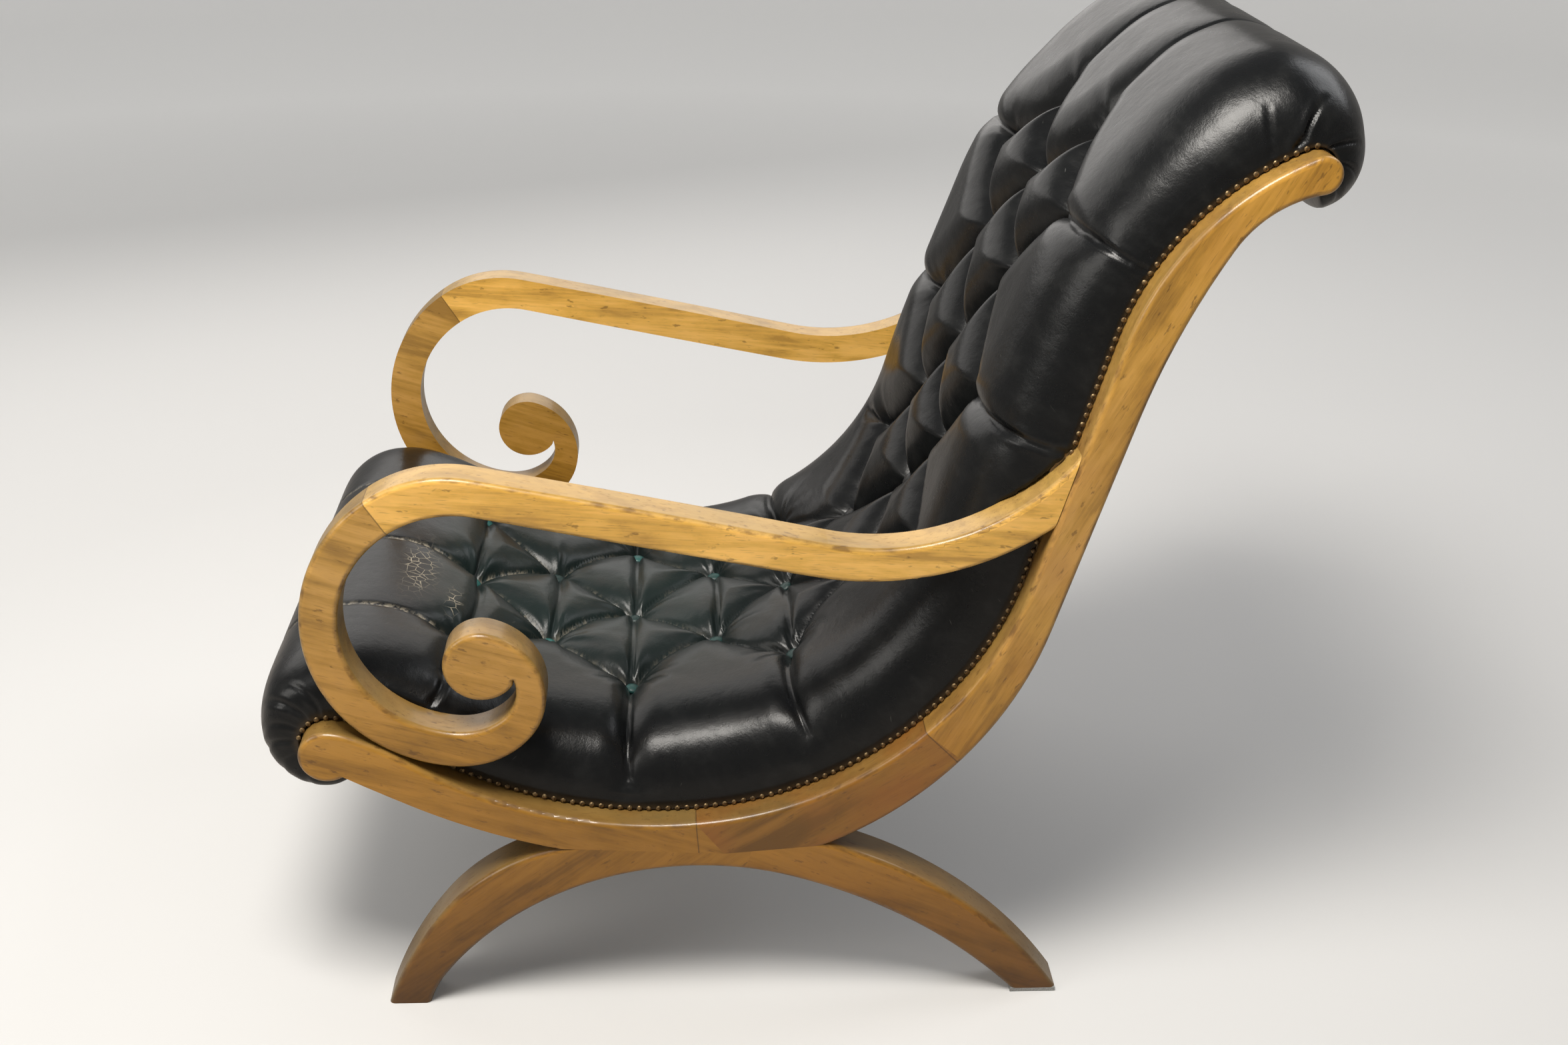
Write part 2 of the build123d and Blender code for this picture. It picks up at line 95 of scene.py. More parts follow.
class SideLine:
    """Chain of tangent arcs in the side view, as the frame's outlines are drawn."""

    def __init__(self, shares: Table, heading: float, start: Sequence[float] | None = None) -> None:
        """Set out the arcs.

        Args:
            shares: points as shares of the depth.
            heading: direction at the first point, in degrees.
            start: first point in metres, where the shares don't hold it.
        """
        corners = [(y * DEPTH, z * DEPTH) for y, z in shares]
        first = tuple(start) if start is not None else corners.pop(0)
        legs = []
        aim = math.radians(heading)
        for last in corners:
            chord = math.atan2(last[1] - first[1], last[0] - first[0])
            turn = 2 * math.remainder(chord - aim, math.tau)
            if abs(turn) < math.radians(0.6):
                span = math.dist(first, last)
                last = (first[0] + span * math.cos(aim), first[1] + span * math.sin(aim))
                turn = 0.0
            legs.append((*first, *last, aim, turn))
            aim += turn
            first = last
        self.legs = np.array(legs)

    def _leg(self, place: np.ndarray) -> np.ndarray:
        """Number of the arc that holds each place."""
        return np.clip(np.floor(place).astype(int), 0, len(self.legs) - 1)

    def aim(self, place: np.ndarray | float) -> np.ndarray:
        """Direction of travel at each place, in radians."""
        place = np.asarray(place, float)
        leg = self._leg(place)
        return self.legs[leg, 4] + self.legs[leg, 5] * (place - leg)

    def at(self, place: np.ndarray | float, shift: np.ndarray | float = 0.0) -> np.ndarray:
        """Points at the places, moved to the left of travel.

        Args:
            place: places, counted in arcs.
            shift: how far to the left, in metres.

        Returns:
            Array whose last axis is Y, Z.
        """
        place = np.asarray(place, float)
        leg = self._leg(place)
        y0, z0, y1, z1, aim0, turn = (self.legs[leg, k] for k in range(6))
        share = place - leg
        aim = aim0 + turn * share
        bent = np.abs(turn) > 1e-9
        safe = np.where(bent, turn, 1.0)
        radius = np.hypot(y1 - y0, z1 - z0) / (2 * np.sin(safe / 2))
        y = np.where(bent, y0 + radius * (np.sin(aim) - np.sin(aim0)), y0 + share * (y1 - y0))
        z = np.where(bent, z0 - radius * (np.cos(aim) - np.cos(aim0)), z0 + share * (z1 - z0))
        return np.stack([y - shift * np.sin(aim), z + shift * np.cos(aim)], axis=-1)


SITTING = SideLine(
    [
        (-0.3960, 0.2903), (-0.4137, 0.3418), (-0.3908, 0.3376), (-0.3331, 0.3073),
        (-0.0082, 0.2306), (0.3009, 0.5022), (0.3709, 0.7539), (0.5326, 0.9374), (0.5423, 0.9022),
    ],
    218,
)
ARM_OUTER = SideLine(
    [
        (0.0952, 0.5498), (-0.2526, 0.6202), (-0.3558, 0.5981), (-0.4270, 0.4359),
        (-0.2845, 0.2989), (-0.2036, 0.3335), (-0.2423, 0.4519), (-0.2573, 0.3776),
        (-0.2217, 0.3917), (-0.2198, 0.3993),
    ],
    233.7,
    SITTING.at(5.56),
)
ARM_INNER = SideLine(
    [
        (0.0847, 0.5134), (-0.2480, 0.5797), (-0.3336, 0.5631), (-0.3679, 0.5298),
        (-0.2827, 0.3395), (-0.2304, 0.3569), (-0.2214, 0.3692), (-0.2198, 0.3993),
    ],
    215.9,
    SITTING.at(5.25),
)

# Tufting along the sitting line: place, button height and crown height as shares
ROWS = np.array(
    [
        (3.04, 0.43, 0.78), (3.37, 0.50, 0.84), (3.70, 0.57, 0.91), (4.025, 0.68, 1.0),
        (4.28, 0.69, 1.0), (4.565, 0.69, 1.0), (4.85, 0.69, 1.0), (5.14, 0.68, 1.0),
        (5.51, 0.64, 0.96), (5.94, 0.57, 0.88), (6.25, 0.50, 0.83), (6.53, 0.50, 0.82),
    ]
)
FRONT_ROLL = np.array(
    [
        (0.06, 0.26, 0.28), (0.20, 0.36, 0.38), (0.40, 0.45, 0.47), (0.59, 0.50, 0.53),
        (0.67, 0.53, 0.555), (0.79, 0.57, 0.60), (1.0, 0.58, 0.62), (2.0, 0.58, 0.68),
        (2.5, 0.53, 0.73),
    ]
)
BACK_ROLL = np.array(
    [
        (6.70, 0.62, 0.86), (6.88, 0.72, 0.90), (7.0, 0.74, 0.88), (7.17, 0.64, 0.75),
        (7.36, 0.52, 0.61), (7.475, 0.46, 0.54), (7.64, 0.43, 0.51), (7.79, 0.40, 0.48),
        (7.96, 0.36, 0.43),
    ]
)
STUFFING = np.vstack([FRONT_ROLL, ROWS, BACK_ROLL])
SEAT_ROWS = 5
MIDDLE = (
    SITTING.at(FRONT_ROLL[:, 0], FRONT_ROLL[:, 2] * CROWN)[:, 0].min()
    + SITTING.at(BACK_ROLL[:, 0], BACK_ROLL[:, 2] * CROWN)[:, 0].max()
) / 2


def sections(x: np.ndarray, place: np.ndarray, shift: np.ndarray) -> np.ndarray:
    """Points of the chair from their width, place and height over the sitting line.

    Args:
        x: distances from the middle, in metres.
        place: places along the sitting line.
        shift: heights over the line, in metres.

    Returns:
        Array whose last axis is X, Y, Z in the frame of the part.
    """
    flat = SITTING.at(place, shift)
    return np.stack(np.broadcast_arrays(x, flat[..., 0] - MIDDLE, flat[..., 1]), axis=-1)


def outward(place: np.ndarray | float) -> np.ndarray:
    """Direction away from the sitting line at the places, as Y, Z."""
    aim = SITTING.aim(place)
    return np.stack([-np.sin(aim), np.cos(aim)], axis=-1)


def lengths(line: np.ndarray) -> np.ndarray:
    """Distance along a line of flat points at each of them, in metres."""
    return np.concatenate([[0], np.cumsum(np.hypot(*np.diff(line, axis=0).T))])


def clearance(spots: np.ndarray, outline: np.ndarray) -> np.ndarray:
    """Distance from flat points to a closed outline.

    Args:
        spots: the points.
        outline: corners of the outline, in order.

    Returns:
        One distance for each point, zero inside the outline.
    """
    inside = np.zeros(len(spots), bool)
    reach = np.full(len(spots), np.inf)
    for first, last in zip(outline, np.roll(outline, -1, axis=0)):
        way = last - first
        share = np.clip(((spots - first) @ way) / max(way @ way, 1e-12), 0, 1)
        reach = np.minimum(reach, np.hypot(*(spots - first - share[:, None] * way).T))
        if first[1] != last[1]:
            spans = (first[1] > spots[:, 1]) != (last[1] > spots[:, 1])
            cut = first[0] + (spots[:, 1] - first[1]) * way[0] / way[1]
            inside ^= spans & (spots[:, 0] < cut)
    return np.where(inside, 0.0, reach)


def through(knots: np.ndarray, column: int, place: np.ndarray) -> np.ndarray:
    """Smooth curve through a column of a table.

    Args:
        knots: table whose first column holds the places.
        column: number of the column to follow.
        place: where the curve is wanted.

    Returns:
        One value for each place.
    """
    x, y = knots[:, 0], knots[:, column]
    slope = np.diff(y) / np.diff(x)
    tangent = np.zeros_like(y)
    same = slope[:-1] * slope[1:] > 0
    tangent[1:-1][same] = 2 * slope[:-1][same] * slope[1:][same] / (slope[:-1] + slope[1:])[same]
    k = np.clip(np.searchsorted(x, place) - 1, 0, len(x) - 2)
    step = x[k + 1] - x[k]
    t = np.clip((place - x[k]) / step, 0, 1)
    return (
        y[k] * (2 * t**3 - 3 * t**2 + 1)
        + tangent[k] * step * (t**3 - 2 * t**2 + t)
        + y[k + 1] * (3 * t**2 - 2 * t**3)
        + tangent[k + 1] * step * (t**3 - t**2)
    )


# ------------------------------------------------------------ shader expressions


class Wire:
    """Number carried by a node socket; arithmetic on it adds Math nodes.

    Size is its absolute value, least and most are the smaller and the larger of two numbers.
    """

    def __init__(self, sheet: "Sheen", socket: bpy.types.NodeSocket) -> None:
        """Hold the socket and the material that it belongs to."""
        self.sheet = sheet
        self.socket = socket

    def _math(self, kind: str, *others: "Wire | float") -> "Wire":
        """Add one Math node over this number and the others."""
        values = dict(enumerate((self, *others)))
        return self.sheet.node("ShaderNodeMath", {"operation": kind}, values)

    def __rsub__(self, other: "Wire | float") -> "Wire":
        """Difference from a number."""
        values = {0: other, 1: self}
        return self.sheet.node("ShaderNodeMath", {"operation": "SUBTRACT"}, values)

    __add__ = __radd__ = partialmethod(_math, "ADD")
    __mul__ = __rmul__ = partialmethod(_math, "MULTIPLY")
    __sub__ = partialmethod(_math, "SUBTRACT")
    __truediv__ = partialmethod(_math, "DIVIDE")
    __pow__ = partialmethod(_math, "POWER")
    size = partialmethod(_math, "ABSOLUTE")
    sine = partialmethod(_math, "SINE")
    least = partialmethod(_math, "MINIMUM")
    most = partialmethod(_math, "MAXIMUM")

    def between(self, low: float, high: float) -> "Wire":
        """Smooth step from 0 at low to 1 at high; high may be the smaller one."""
        return self.sheet.node(
            "ShaderNodeMapRange",
            {"interpolation_type": "SMOOTHSTEP"},
            {0: self, 1: low, 2: high, 3: 0.0, 4: 1.0},
        )


class Sheen:
    """One material, with its nodes added one by one."""

    def __init__(self, name: str) -> None:
        """Start a material with its surface shader."""
        self.material = bpy.data.materials.new(name)
        self.material.use_nodes = True
        self.tree = self.material.node_tree
        self.surface = self.tree.nodes["Principled BSDF"]

    def node(
        self,
        kind: str,
        settings: dict[str, object] | None = None,
        values: dict[int | str, object] | None = None,
        out: int | str = 0,
    ) -> Wire:
        """Add any node.

        Args:
            kind: type of the node.
            settings: its properties, which are set first.
            values: numbers, colours or wires for its input sockets.
            out: output socket to hand back.

        Returns:
            The output socket as a wire.
        """
        made = self.tree.nodes.new(kind)
        for name, value in (settings or {}).items():
            if name == "stops":
                self._stops(made.color_ramp, value)
            else:
                setattr(made, name, value)
        for key, value in (values or {}).items():
            self.feed(made.inputs[key], value)
        return Wire(self, made.outputs[out])

    def feed(self, socket: bpy.types.NodeSocket, value: object) -> None:
        """Set a socket to a value or link a wire to it."""
        if isinstance(value, Wire):
            self.tree.links.new(value.socket, socket)
        else:
            socket.default_value = value

    @staticmethod
    def _stops(ramp: bpy.types.ColorRamp, stops: Sequence[tuple[float, Colour]]) -> None:
        """Lay the stops of a colour ramp."""
        while len(ramp.elements) < len(stops):
            ramp.elements.new(1.0)
        for element, (place, colour) in zip(ramp.elements, stops):
            element.position = place
            element.color = colour

    def finish(self, **values: object) -> bpy.types.Material:
        """Feed the surface shader's sockets, spaces as underscores, and hand back the material."""
        for name, value in values.items():
            self.feed(self.surface.inputs[name.replace("_", " ")], value)
        return self.material

    def place(self) -> Wire:
        """Object coordinates."""
        return self.node("ShaderNodeTexCoord", out="Object")

    def map(self, name: str) -> Wire:
        """Coordinates of a map on the piece."""
        return self.node("ShaderNodeUVMap", {"uv_map": name})

    def mark(self, name: str) -> Wire:
        """Number kept on the piece under a name."""
        return self.node("ShaderNodeAttribute", {"attribute_name": name}, out="Fac")

    def part(self, spot: Wire, axis: str) -> Wire:
        """One coordinate of a vector."""
        return self.node("ShaderNodeSeparateXYZ", None, {0: spot}, axis)

    def clouds(
        self, spot: Wire, scale: float, detail: float = 2.0, rough: float = 0.5, warp: float = 0.0
    ) -> Wire:
        """Soft noise.

        Args:
            spot: coordinates.
            scale: repeats per unit.
            detail: octaves.
            rough: strength of the finer octaves.
            warp: how far the pattern is pushed about.

        Returns:
            Values about one half.
        """
        grain = {"Detail": detail, "Roughness": rough, "Distortion": warp}
        return self.node("ShaderNodeTexNoise", None, {"Vector": spot, "Scale": scale, **grain})

    def streaks(
        self,
        spot: Wire,
        turn: Sequence[float],
        scale: Sequence[float],
        detail: float = 2.0,
        rough: float = 0.5,
        shift: Sequence[float] = (0, 0, 0),
        warp: float = 0.0,
    ) -> Wire:
        """Soft noise on coordinates that are turned and then drawn out.

        Args:
            spot: coordinates.
            turn: turns about the axes, in radians.
            scale: repeats per metre along each axis after the turn.
            detail: octaves.
            rough: strength of the finer octaves.
            shift: offset after scaling.
            warp: how far the pattern is pushed about.

        Returns:
            Values about one half.
        """
        point = {"vector_type": "POINT"}
        level = self.node("ShaderNodeMapping", point, {"Vector": spot, "Rotation": tuple(turn)})
        values = {"Vector": level, "Scale": tuple(scale), "Location": tuple(shift)}
        return self.clouds(self.node("ShaderNodeMapping", point, values), 1.0, detail, rough, warp)

    def cells(self, spot: Wire, scale: float, kind: str = "F1") -> Wire:
        """Distance pattern of scattered cells."""
        values = {"Vector": spot, "Scale": scale}
        return self.node("ShaderNodeTexVoronoi", {"feature": kind}, values)

    def blend(
        self, share: Wire | float, low: Wire | Colour, high: Wire | Colour, how: str = "MIX"
    ) -> Wire:
        """Mix two colours by a share."""
        settings = {"data_type": "RGBA", "blend_type": how}
        return self.node("ShaderNodeMix", settings, {0: share, 6: low, 7: high}, 2)

    def ramp(self, share: Wire, *stops: tuple[float, Colour]) -> Wire:
        """Colour for each value of a share."""
        return self.node("ShaderNodeValToRGB", {"stops": stops}, {0: share})

    def relief(self, height: Wire, metres: float, under: Wire | None = None) -> Wire:
        """Bump of a height that runs from 0 to 1.

        Args:
            height: pattern of the height.
            metres: depth of the pattern.
            under: bump that lies below this one.

        Returns:
            The normal.
        """
        values: dict[int | str, object] = {"Height": height, "Strength": 1.0, "Distance": metres}
        if under is not None:
            values["Normal"] = under
        return self.node("ShaderNodeBump", None, values)


# ------------------------------------------------------------ finishes


@dataclass(frozen=True)
class PolishedWood:
    """Old polished show wood: long grain, mottled stain, rubbed rounds, painted shade that darkens
    it low down, olive tops that are partly grime and partly painted shade, and a painted light gain
    for each piece.
    """

    name: str
    grain: Grain
    shift: float = 0.0
    # Painted light: brighter or darker copies of one finish, for how the light falls on each piece
    gain: float = 1.0
    red: float = 0.0
    joints: tuple[tuple[float, float, float, float], ...] = ()

    # Colour by height: the darkening towards the floor is painted shade, where the light falls off
    # low down
    TONE_AND_SHADE_BY_HEIGHT = (
        (0.00, (0.100, 0.039, 0.003, 1)),
        (0.12, (0.215, 0.090, 0.006, 1)),
        (0.26, (0.360, 0.165, 0.013, 1)),
        (0.45, (0.500, 0.272, 0.055, 1)),
        (0.85, (0.500, 0.245, 0.028, 1)),
    )
    # Olive grey for tops and fronts: partly grime, partly painted shade
    OLIVE = (0.175, 0.138, 0.058, 1)
    BROWN = (0.085, 0.034, 0.008, 1)
    RUSSET = (0.27, 0.088, 0.010, 1)
    SEAM = (0.030, 0.012, 0.005, 1)

    def make(self) -> bpy.types.Material:
        """Build the material."""
        coat = Sheen(self.name)
        spot = coat.place()
        turn = (math.radians(-self.grain.value), 0, 0)
        own = self.shift
        figure = coat.streaks(spot, turn, (22, 3.4, 34), 4, 0.55, (own, own, 0), 1.2)
        fibre = coat.streaks(spot, turn, (140, 10, 330), 3, 0.6, (0, own, 0))
        pores = coat.streaks(spot, turn, (420, 60, 1000), 1, 0.5).between(0.62, 0.74)
        cloudy = coat.streaks(spot, turn, (12, 7, 12), 3, 0.6, (1.3, own, 0))
        mottle = coat.streaks(spot, turn, (60, 30, 70), 4, 0.62, (3.1, own, 1.7))
        specks = coat.streaks(spot, turn, (150, 60, 190), 3, 0.6, (own, 0.4, 1.7))
        # Base colour by height, with painted shade low down
        wood = coat.ramp(coat.part(spot, "Z"), *self.TONE_AND_SHADE_BY_HEIGHT)
        tone = figure * 0.45 + fibre * 0.15 + cloudy * 0.2 + mottle * 0.2
        stops = ((0.42, self.grey(0.66)), (0.49, self.grey(0.98)), (0.56, self.grey(1.22, 1.3)))
        wood = coat.blend(1.0, wood, coat.ramp(tone, *stops), "MULTIPLY")
        flat = coat.part(coat.node("ShaderNodeNewGeometry", out="True Normal"), "X") ** 2.0
        rounds = (flat * (1 - flat) * 4.0).between(0.05, 0.7)
        # Partly grime, partly painted shade: faces that don't face sideways go olive and darker
        wood = coat.blend(((1 - flat) * (0.25 + cloudy * 0.6)).least(0.7), wood, self.OLIVE)
        wood = coat.blend(cloudy.between(0.35, 0.7) * self.red, wood, self.RUSSET)
        stain = (rounds * 0.75 + (1 - flat) * 0.3 + 0.12).least(1.0) * mottle.between(0.44, 0.66)
        wood = coat.blend(stain * 0.7, wood, self.BROWN)
        wood = coat.blend(specks.between(0.63, 0.72) * 0.55, wood, self.BROWN)
        wood = coat.blend(pores * 0.3, wood, self.BROWN)
        wood = self.seamed(coat, wood, spot)
        rough = 0.22 + fibre * 0.10 + pores * 0.12 + mottle * 0.14
        bump = coat.relief(fibre * 0.5 + (1 - pores) * 0.5, 0.00009)
        gloss = {"Coat_Weight": 0.22, "Coat_Roughness": 0.14}
        return coat.finish(Base_Color=wood, Roughness=rough, Normal=bump, **gloss)

    def seamed(self, coat: Sheen, wood: Wire, spot: Wire) -> Wire:
        """Draw the dark glue lines of the joints.

        Args:
            coat: material that the lines belong to.
            wood: colour of the wood.
            spot: object coordinates.

        Returns:
            The colour with its glue lines.
        """
        for y0, z0, y1, z1 in self.joints:
            y, z = coat.part(spot, "Y"), coat.part(spot, "Z")
            length = math.hypot(y1 - y0, z1 - z0)
            level, rise = (y1 - y0) / length, (z1 - z0) / length
            ahead = (y - y0) * level + (z - z0) * rise
            within = (ahead - length / 2).size().between(length * 0.75, length * 0.7)
            seam = ((y - y0) * rise - (z - z0) * level).size().between(0.0009, 0.0002) * within
            wood = coat.blend(seam * 0.6, wood, self.SEAM)
        return wood

    def grey(self, value: float, warmth: float = 1.0) -> Colour:
        """Plain multiplier of the wood's colour, scaled by the piece's painted light gain."""
        value *= self.gain
        return (value, value * (1 + 0.06 * (value - 1)), value * warmth, 1)


@dataclass(frozen=True)
class RawWood:
    """Sawn frame wood that the upholstery hides."""

    name: str

    def make(self) -> bpy.types.Material:
        """Build the material."""
        coat = Sheen(self.name)
        spot = coat.place()
        fibre = coat.streaks(spot, (0, 0, 0), (9, 160, 160), 3, 0.6)
        broad = coat.streaks(spot, (0, 0, 0), (2, 30, 30), 2, 0.5)
        tone = fibre * 0.5 + broad * 0.5
        wood = coat.ramp(tone, (0.3, (0.30, 0.19, 0.09, 1)), (0.7, (0.55, 0.40, 0.22, 1)))
        bump = coat.relief(fibre, 0.0003)
        return coat.finish(Base_Color=wood, Roughness=0.75, Normal=bump)


@dataclass(frozen=True)
class TuftedLeather:
    """Satin black hide with a fine grain, greener and worn on the seat."""

    name: str
    black: Colour = (0.0048, 0.0052, 0.0056, 1)
    green: Colour = (0.0125, 0.0220, 0.0205, 1)
    dull: Colour = (0.020, 0.0205, 0.020, 1)
    brown: Colour = (0.045, 0.030, 0.016, 1)
    scuffed: Colour = (0.14, 0.14, 0.13, 1)
    worn: Colour = (0.42, 0.37, 0.28, 1)

    def make(self) -> bpy.types.Material:
        """Build the material."""
        coat = Sheen(self.name)
        sheet = coat.map("hide")
        seat = coat.mark("seat")
        crease = coat.mark("crease")
        rub = coat.mark("rub")
        grain = coat.cells(sheet, 750.0)
        fine = coat.clouds(sheet, 1400.0, 2, 0.6)
        soft = coat.clouds(sheet, 38.0, 4, 0.6)
        broad = coat.clouds(sheet, 7.0, 3, 0.55)
        hide = coat.blend(seat * (0.5 + broad * 0.6), self.black, self.green)
        hide = coat.blend(soft.between(0.46, 0.76) * 0.4, hide, self.dull)
        hide = coat.blend(coat.mark("trim") * 0.9, hide, self.brown)
        cracks = coat.cells(sheet, 95.0, "DISTANCE_TO_EDGE")
        ragged = coat.clouds(sheet, 160.0, 3, 0.7)
        broken = (cracks + ragged * 0.10).between(0.090, 0.060) * (rub * 2.5).least(1.0)
        line = crease * ragged.between(0.42, 0.58) * soft.between(0.36, 0.52)
        hide = coat.blend((broken + line).least(1.0) * 0.8, hide, self.worn)
        scuffs = coat.streaks(sheet, (0, 0, 0.6), (60, 420, 1), 2, 0.5).between(0.73, 0.79)
        hide = coat.blend(scuffs * 0.3, hide, self.scuffed)
        rough = 0.22 + soft * 0.14 + broken * 0.3 + scuffs * 0.12 + seat * 0.03
        bump = coat.relief(grain * 0.6 + fine * 0.4, 0.00006)
        bump = coat.relief(soft, 0.0007, bump)
        bump = coat.relief((1 - broken) * 0.5 + (1 - line) * 0.5, 0.00022, bump)
        return coat.finish(Base_Color=hide, Roughness=rough, Normal=bump, Specular_IOR_Level=0.32)


@dataclass(frozen=True)
class ButtonLeather:
    """Small covers cut from one hide, some of them faded."""

    name: str
    faded: Colour
    dark: Colour

    def make(self) -> bpy.types.Material:
        """Build the material."""
        coat = Sheen(self.name)
        spot = coat.place()
        grain = coat.cells(spot, 900.0)
        dull = coat.clouds(spot, 260.0, 3, 0.6)
        spread = (coat.clouds(spot, 11.0, 1, 0.5) - coat.part(spot, "Y") * 1.2).between(0.60, 0.76)
        hide = coat.blend(spread * (0.4 + dull), self.dark, self.faded)
        bump = coat.relief(grain, 0.00006)
        return coat.finish(Base_Color=hide, Roughness=0.38 + dull * 0.15, Normal=bump)


@dataclass(frozen=True)
class TarnishedBrass:
    """Dull brass with dirt in its hollows."""

    name: str

    def make(self) -> bpy.types.Material:
        """Build the material."""
        coat = Sheen(self.name)
        spot = coat.place()
        dirt = coat.clouds(spot, 420.0, 3, 0.6)
        bright, dull, black = (0.36, 0.26, 0.13, 1), (0.19, 0.125, 0.06, 1), (0.05, 0.034, 0.018, 1)
        brass = coat.ramp(dirt, (0.32, bright), (0.50, dull), (0.66, black))
        bump = coat.relief(dirt, 0.00008)
        return coat.finish(Base_Color=brass, Metallic=0.8, Roughness=0.32 + dirt * 0.3, Normal=bump)


@dataclass(frozen=True)
class WovenCloth:
    """Plain woven cloth, from loose hessian to tight cotton."""

    name: str
    light: Colour
    dark: Colour
    threads: float

    def make(self) -> bpy.types.Material:
        """Build the material."""
        coat = Sheen(self.name)
        sheet = coat.map("hide")
        turns = self.threads * math.pi
        warp = (coat.part(sheet, "X") * turns).sine().size()
        weft = (coat.part(sheet, "Y") * turns).sine().size()
        slub = coat.streaks(sheet, (0, 0, 0), (self.threads / 8, self.threads / 2, 1), 2, 0.6)
        weave = warp * weft
        cloth = coat.blend(weave.between(0.05, 0.55) * (0.5 + slub * 0.6), self.dark, self.light)
        bump = coat.relief(weave * 0.8 + slub * 0.2, 0.3 / self.threads / 2)
        return coat.finish(Base_Color=cloth, Roughness=0.9, Normal=bump)


@dataclass(frozen=True)
class Felt:
    """Pressed grey felt."""

    name: str

    def make(self) -> bpy.types.Material:
        """Build the material."""
        coat = Sheen(self.name)
        spot = coat.place()
        fluff = coat.clouds(spot, 700.0, 4, 0.7)
        felt = coat.ramp(fluff, (0.3, (0.20, 0.20, 0.19, 1)), (0.7, (0.42, 0.42, 0.40, 1)))
        return coat.finish(Base_Color=felt, Roughness=0.95, Normal=coat.relief(fluff, 0.0006))


@dataclass(frozen=True)
class StudioPaper:
    """Plain pale paper, paler to the camera far away and dimmer in reflections."""

    name: str
    light: Colour = (0.70, 0.695, 0.685, 1)
    dark: Colour = (0.66, 0.655, 0.645, 1)
    mirrored: Colour = (0.25, 0.20, 0.15, 1)

    def make(self) -> bpy.types.Material:
        """Build the material."""
        coat = Sheen(self.name)
        spot = coat.place()
        kinds = ("Camera", "Glossy", "Transmission")
        rays = [coat.node("ShaderNodeLightPath", out=f"Is {kind} Ray") for kind in kinds]
        camera, glossy, clear = rays
        paper = coat.blend(coat.clouds(spot, 3.0, 2, 0.5) * 0.2, self.light, self.dark)
        paper = coat.blend(glossy * 0.6, paper, self.mirrored)
        away = coat.node("ShaderNodeVectorMath", {"operation": "LENGTH"}, {0: spot}, "Value")
        near, far = (0.05, 0.05, 0.05, 1), (0.36, 0.355, 0.345, 1)
        pale = coat.ramp(away / 8.0, (0.15, near), (0.5, far))
        seen = camera.most(glossy * 0.45).most(clear)
        glow = {"Emission_Color": coat.blend(seen, (0, 0, 0, 1), pale), "Emission_Strength": 1.0}
        return coat.finish(Base_Color=paper, Roughness=0.9, **glow)


# ------------------------------------------------------------ meshes and fasteners


def mesh_piece(
    name: str,
    points: np.ndarray,
    faces: Iterable[Sequence[int]],
    finish: bpy.types.Material | None = None,
) -> bpy.types.Object:
    """Make a piece from points and faces.

    Args:
        name: name of the piece.
        points: corners in metres, in the frame of the part.
        faces: corner numbers of each face.
        finish: material.

    Returns:
        The new object, with smooth faces.
    """
    mesh = bpy.data.meshes.new(name)
    corners = np.asarray(points, float).reshape(-1, 3).tolist()
    mesh.from_pydata(corners, [], [list(face) for face in faces])
    mesh.validate()
    mesh.polygons.foreach_set("use_smooth", np.ones(len(mesh.polygons), bool))
    if finish is not None:
        mesh.materials.append(finish)
    piece = bpy.data.objects.new(name, mesh)
    bpy.context.scene.collection.objects.link(piece)
    return piece


def keep_number(piece: bpy.types.Object, name: str, values: np.ndarray) -> None:
    """Keep one number for each corner of a piece under a name."""
    mark = piece.data.attributes.new(name, "FLOAT", "POINT")
    mark.data.foreach_set("value", np.asarray(values, np.float32).ravel())


def keep_map(piece: bpy.types.Object, spots: np.ndarray) -> None:
    """Keep flat coordinates for each corner of a piece as the map named hide."""
    mesh = piece.data
    corners = np.zeros(len(mesh.loops), np.int32)
    mesh.loops.foreach_get("vertex_index", corners)
    layer = mesh.uv_layers.new(name="hide")
    layer.data.foreach_set("uv", np.asarray(spots, np.float32).reshape(-1, 2)[corners].ravel())


def ring_faces(rows: int, columns: int) -> list[tuple[int, ...]]:
    """Faces between rings of points that lie one behind another.

    Args:
        rows: number of rings.
        columns: points in a ring.

    Returns:
        Corner numbers of each face.
    """
    row, column = np.meshgrid(np.arange(rows - 1), np.arange(columns), indexing="ij")
    nearer = row * columns + column
    beside = row * columns + (column + 1) % columns
    quads = np.stack([nearer, beside, beside + columns, nearer + columns], axis=-1)
    return [tuple(q) for q in quads.reshape(-1, 4).tolist()]


def closed_faces(rows: int, columns: int) -> list[tuple[int, ...]]:
    """Faces between rings of points, with both ends filled."""
    ends = [tuple(range(columns - 1, -1, -1)), tuple(range((rows - 1) * columns, rows * columns))]
    return ring_faces(rows, columns) + ends


def lathe(name: str, profile: Table, turns: int) -> bpy.types.Object:
    """Turn a profile about Z.

    Args:
        name: name of the piece.
        profile: radius and height of each ring; a radius of zero is a pole.
        turns: corners in a ring.

    Returns:
        The turned piece, without a finish.
    """
    points, rings = [], []
    for radius, height in profile:
        count = turns if radius else 1
        rings.append(range(len(points), len(points) + count))
        for k in range(count):
            angle = math.tau * k / turns
            points.append((radius * math.cos(angle), radius * math.sin(angle), height))
    faces = []
    for low, high in zip(rings, rings[1:]):
        for k in range(turns):
            ahead = (k + 1) % turns
            spots = ((low, k), (low, ahead), (high, ahead), (high, k))
            corners = [ring[spot % len(ring)] for ring, spot in spots]
            faces.append(list(dict.fromkeys(corners)))
    return mesh_piece(name, np.array(points), faces)


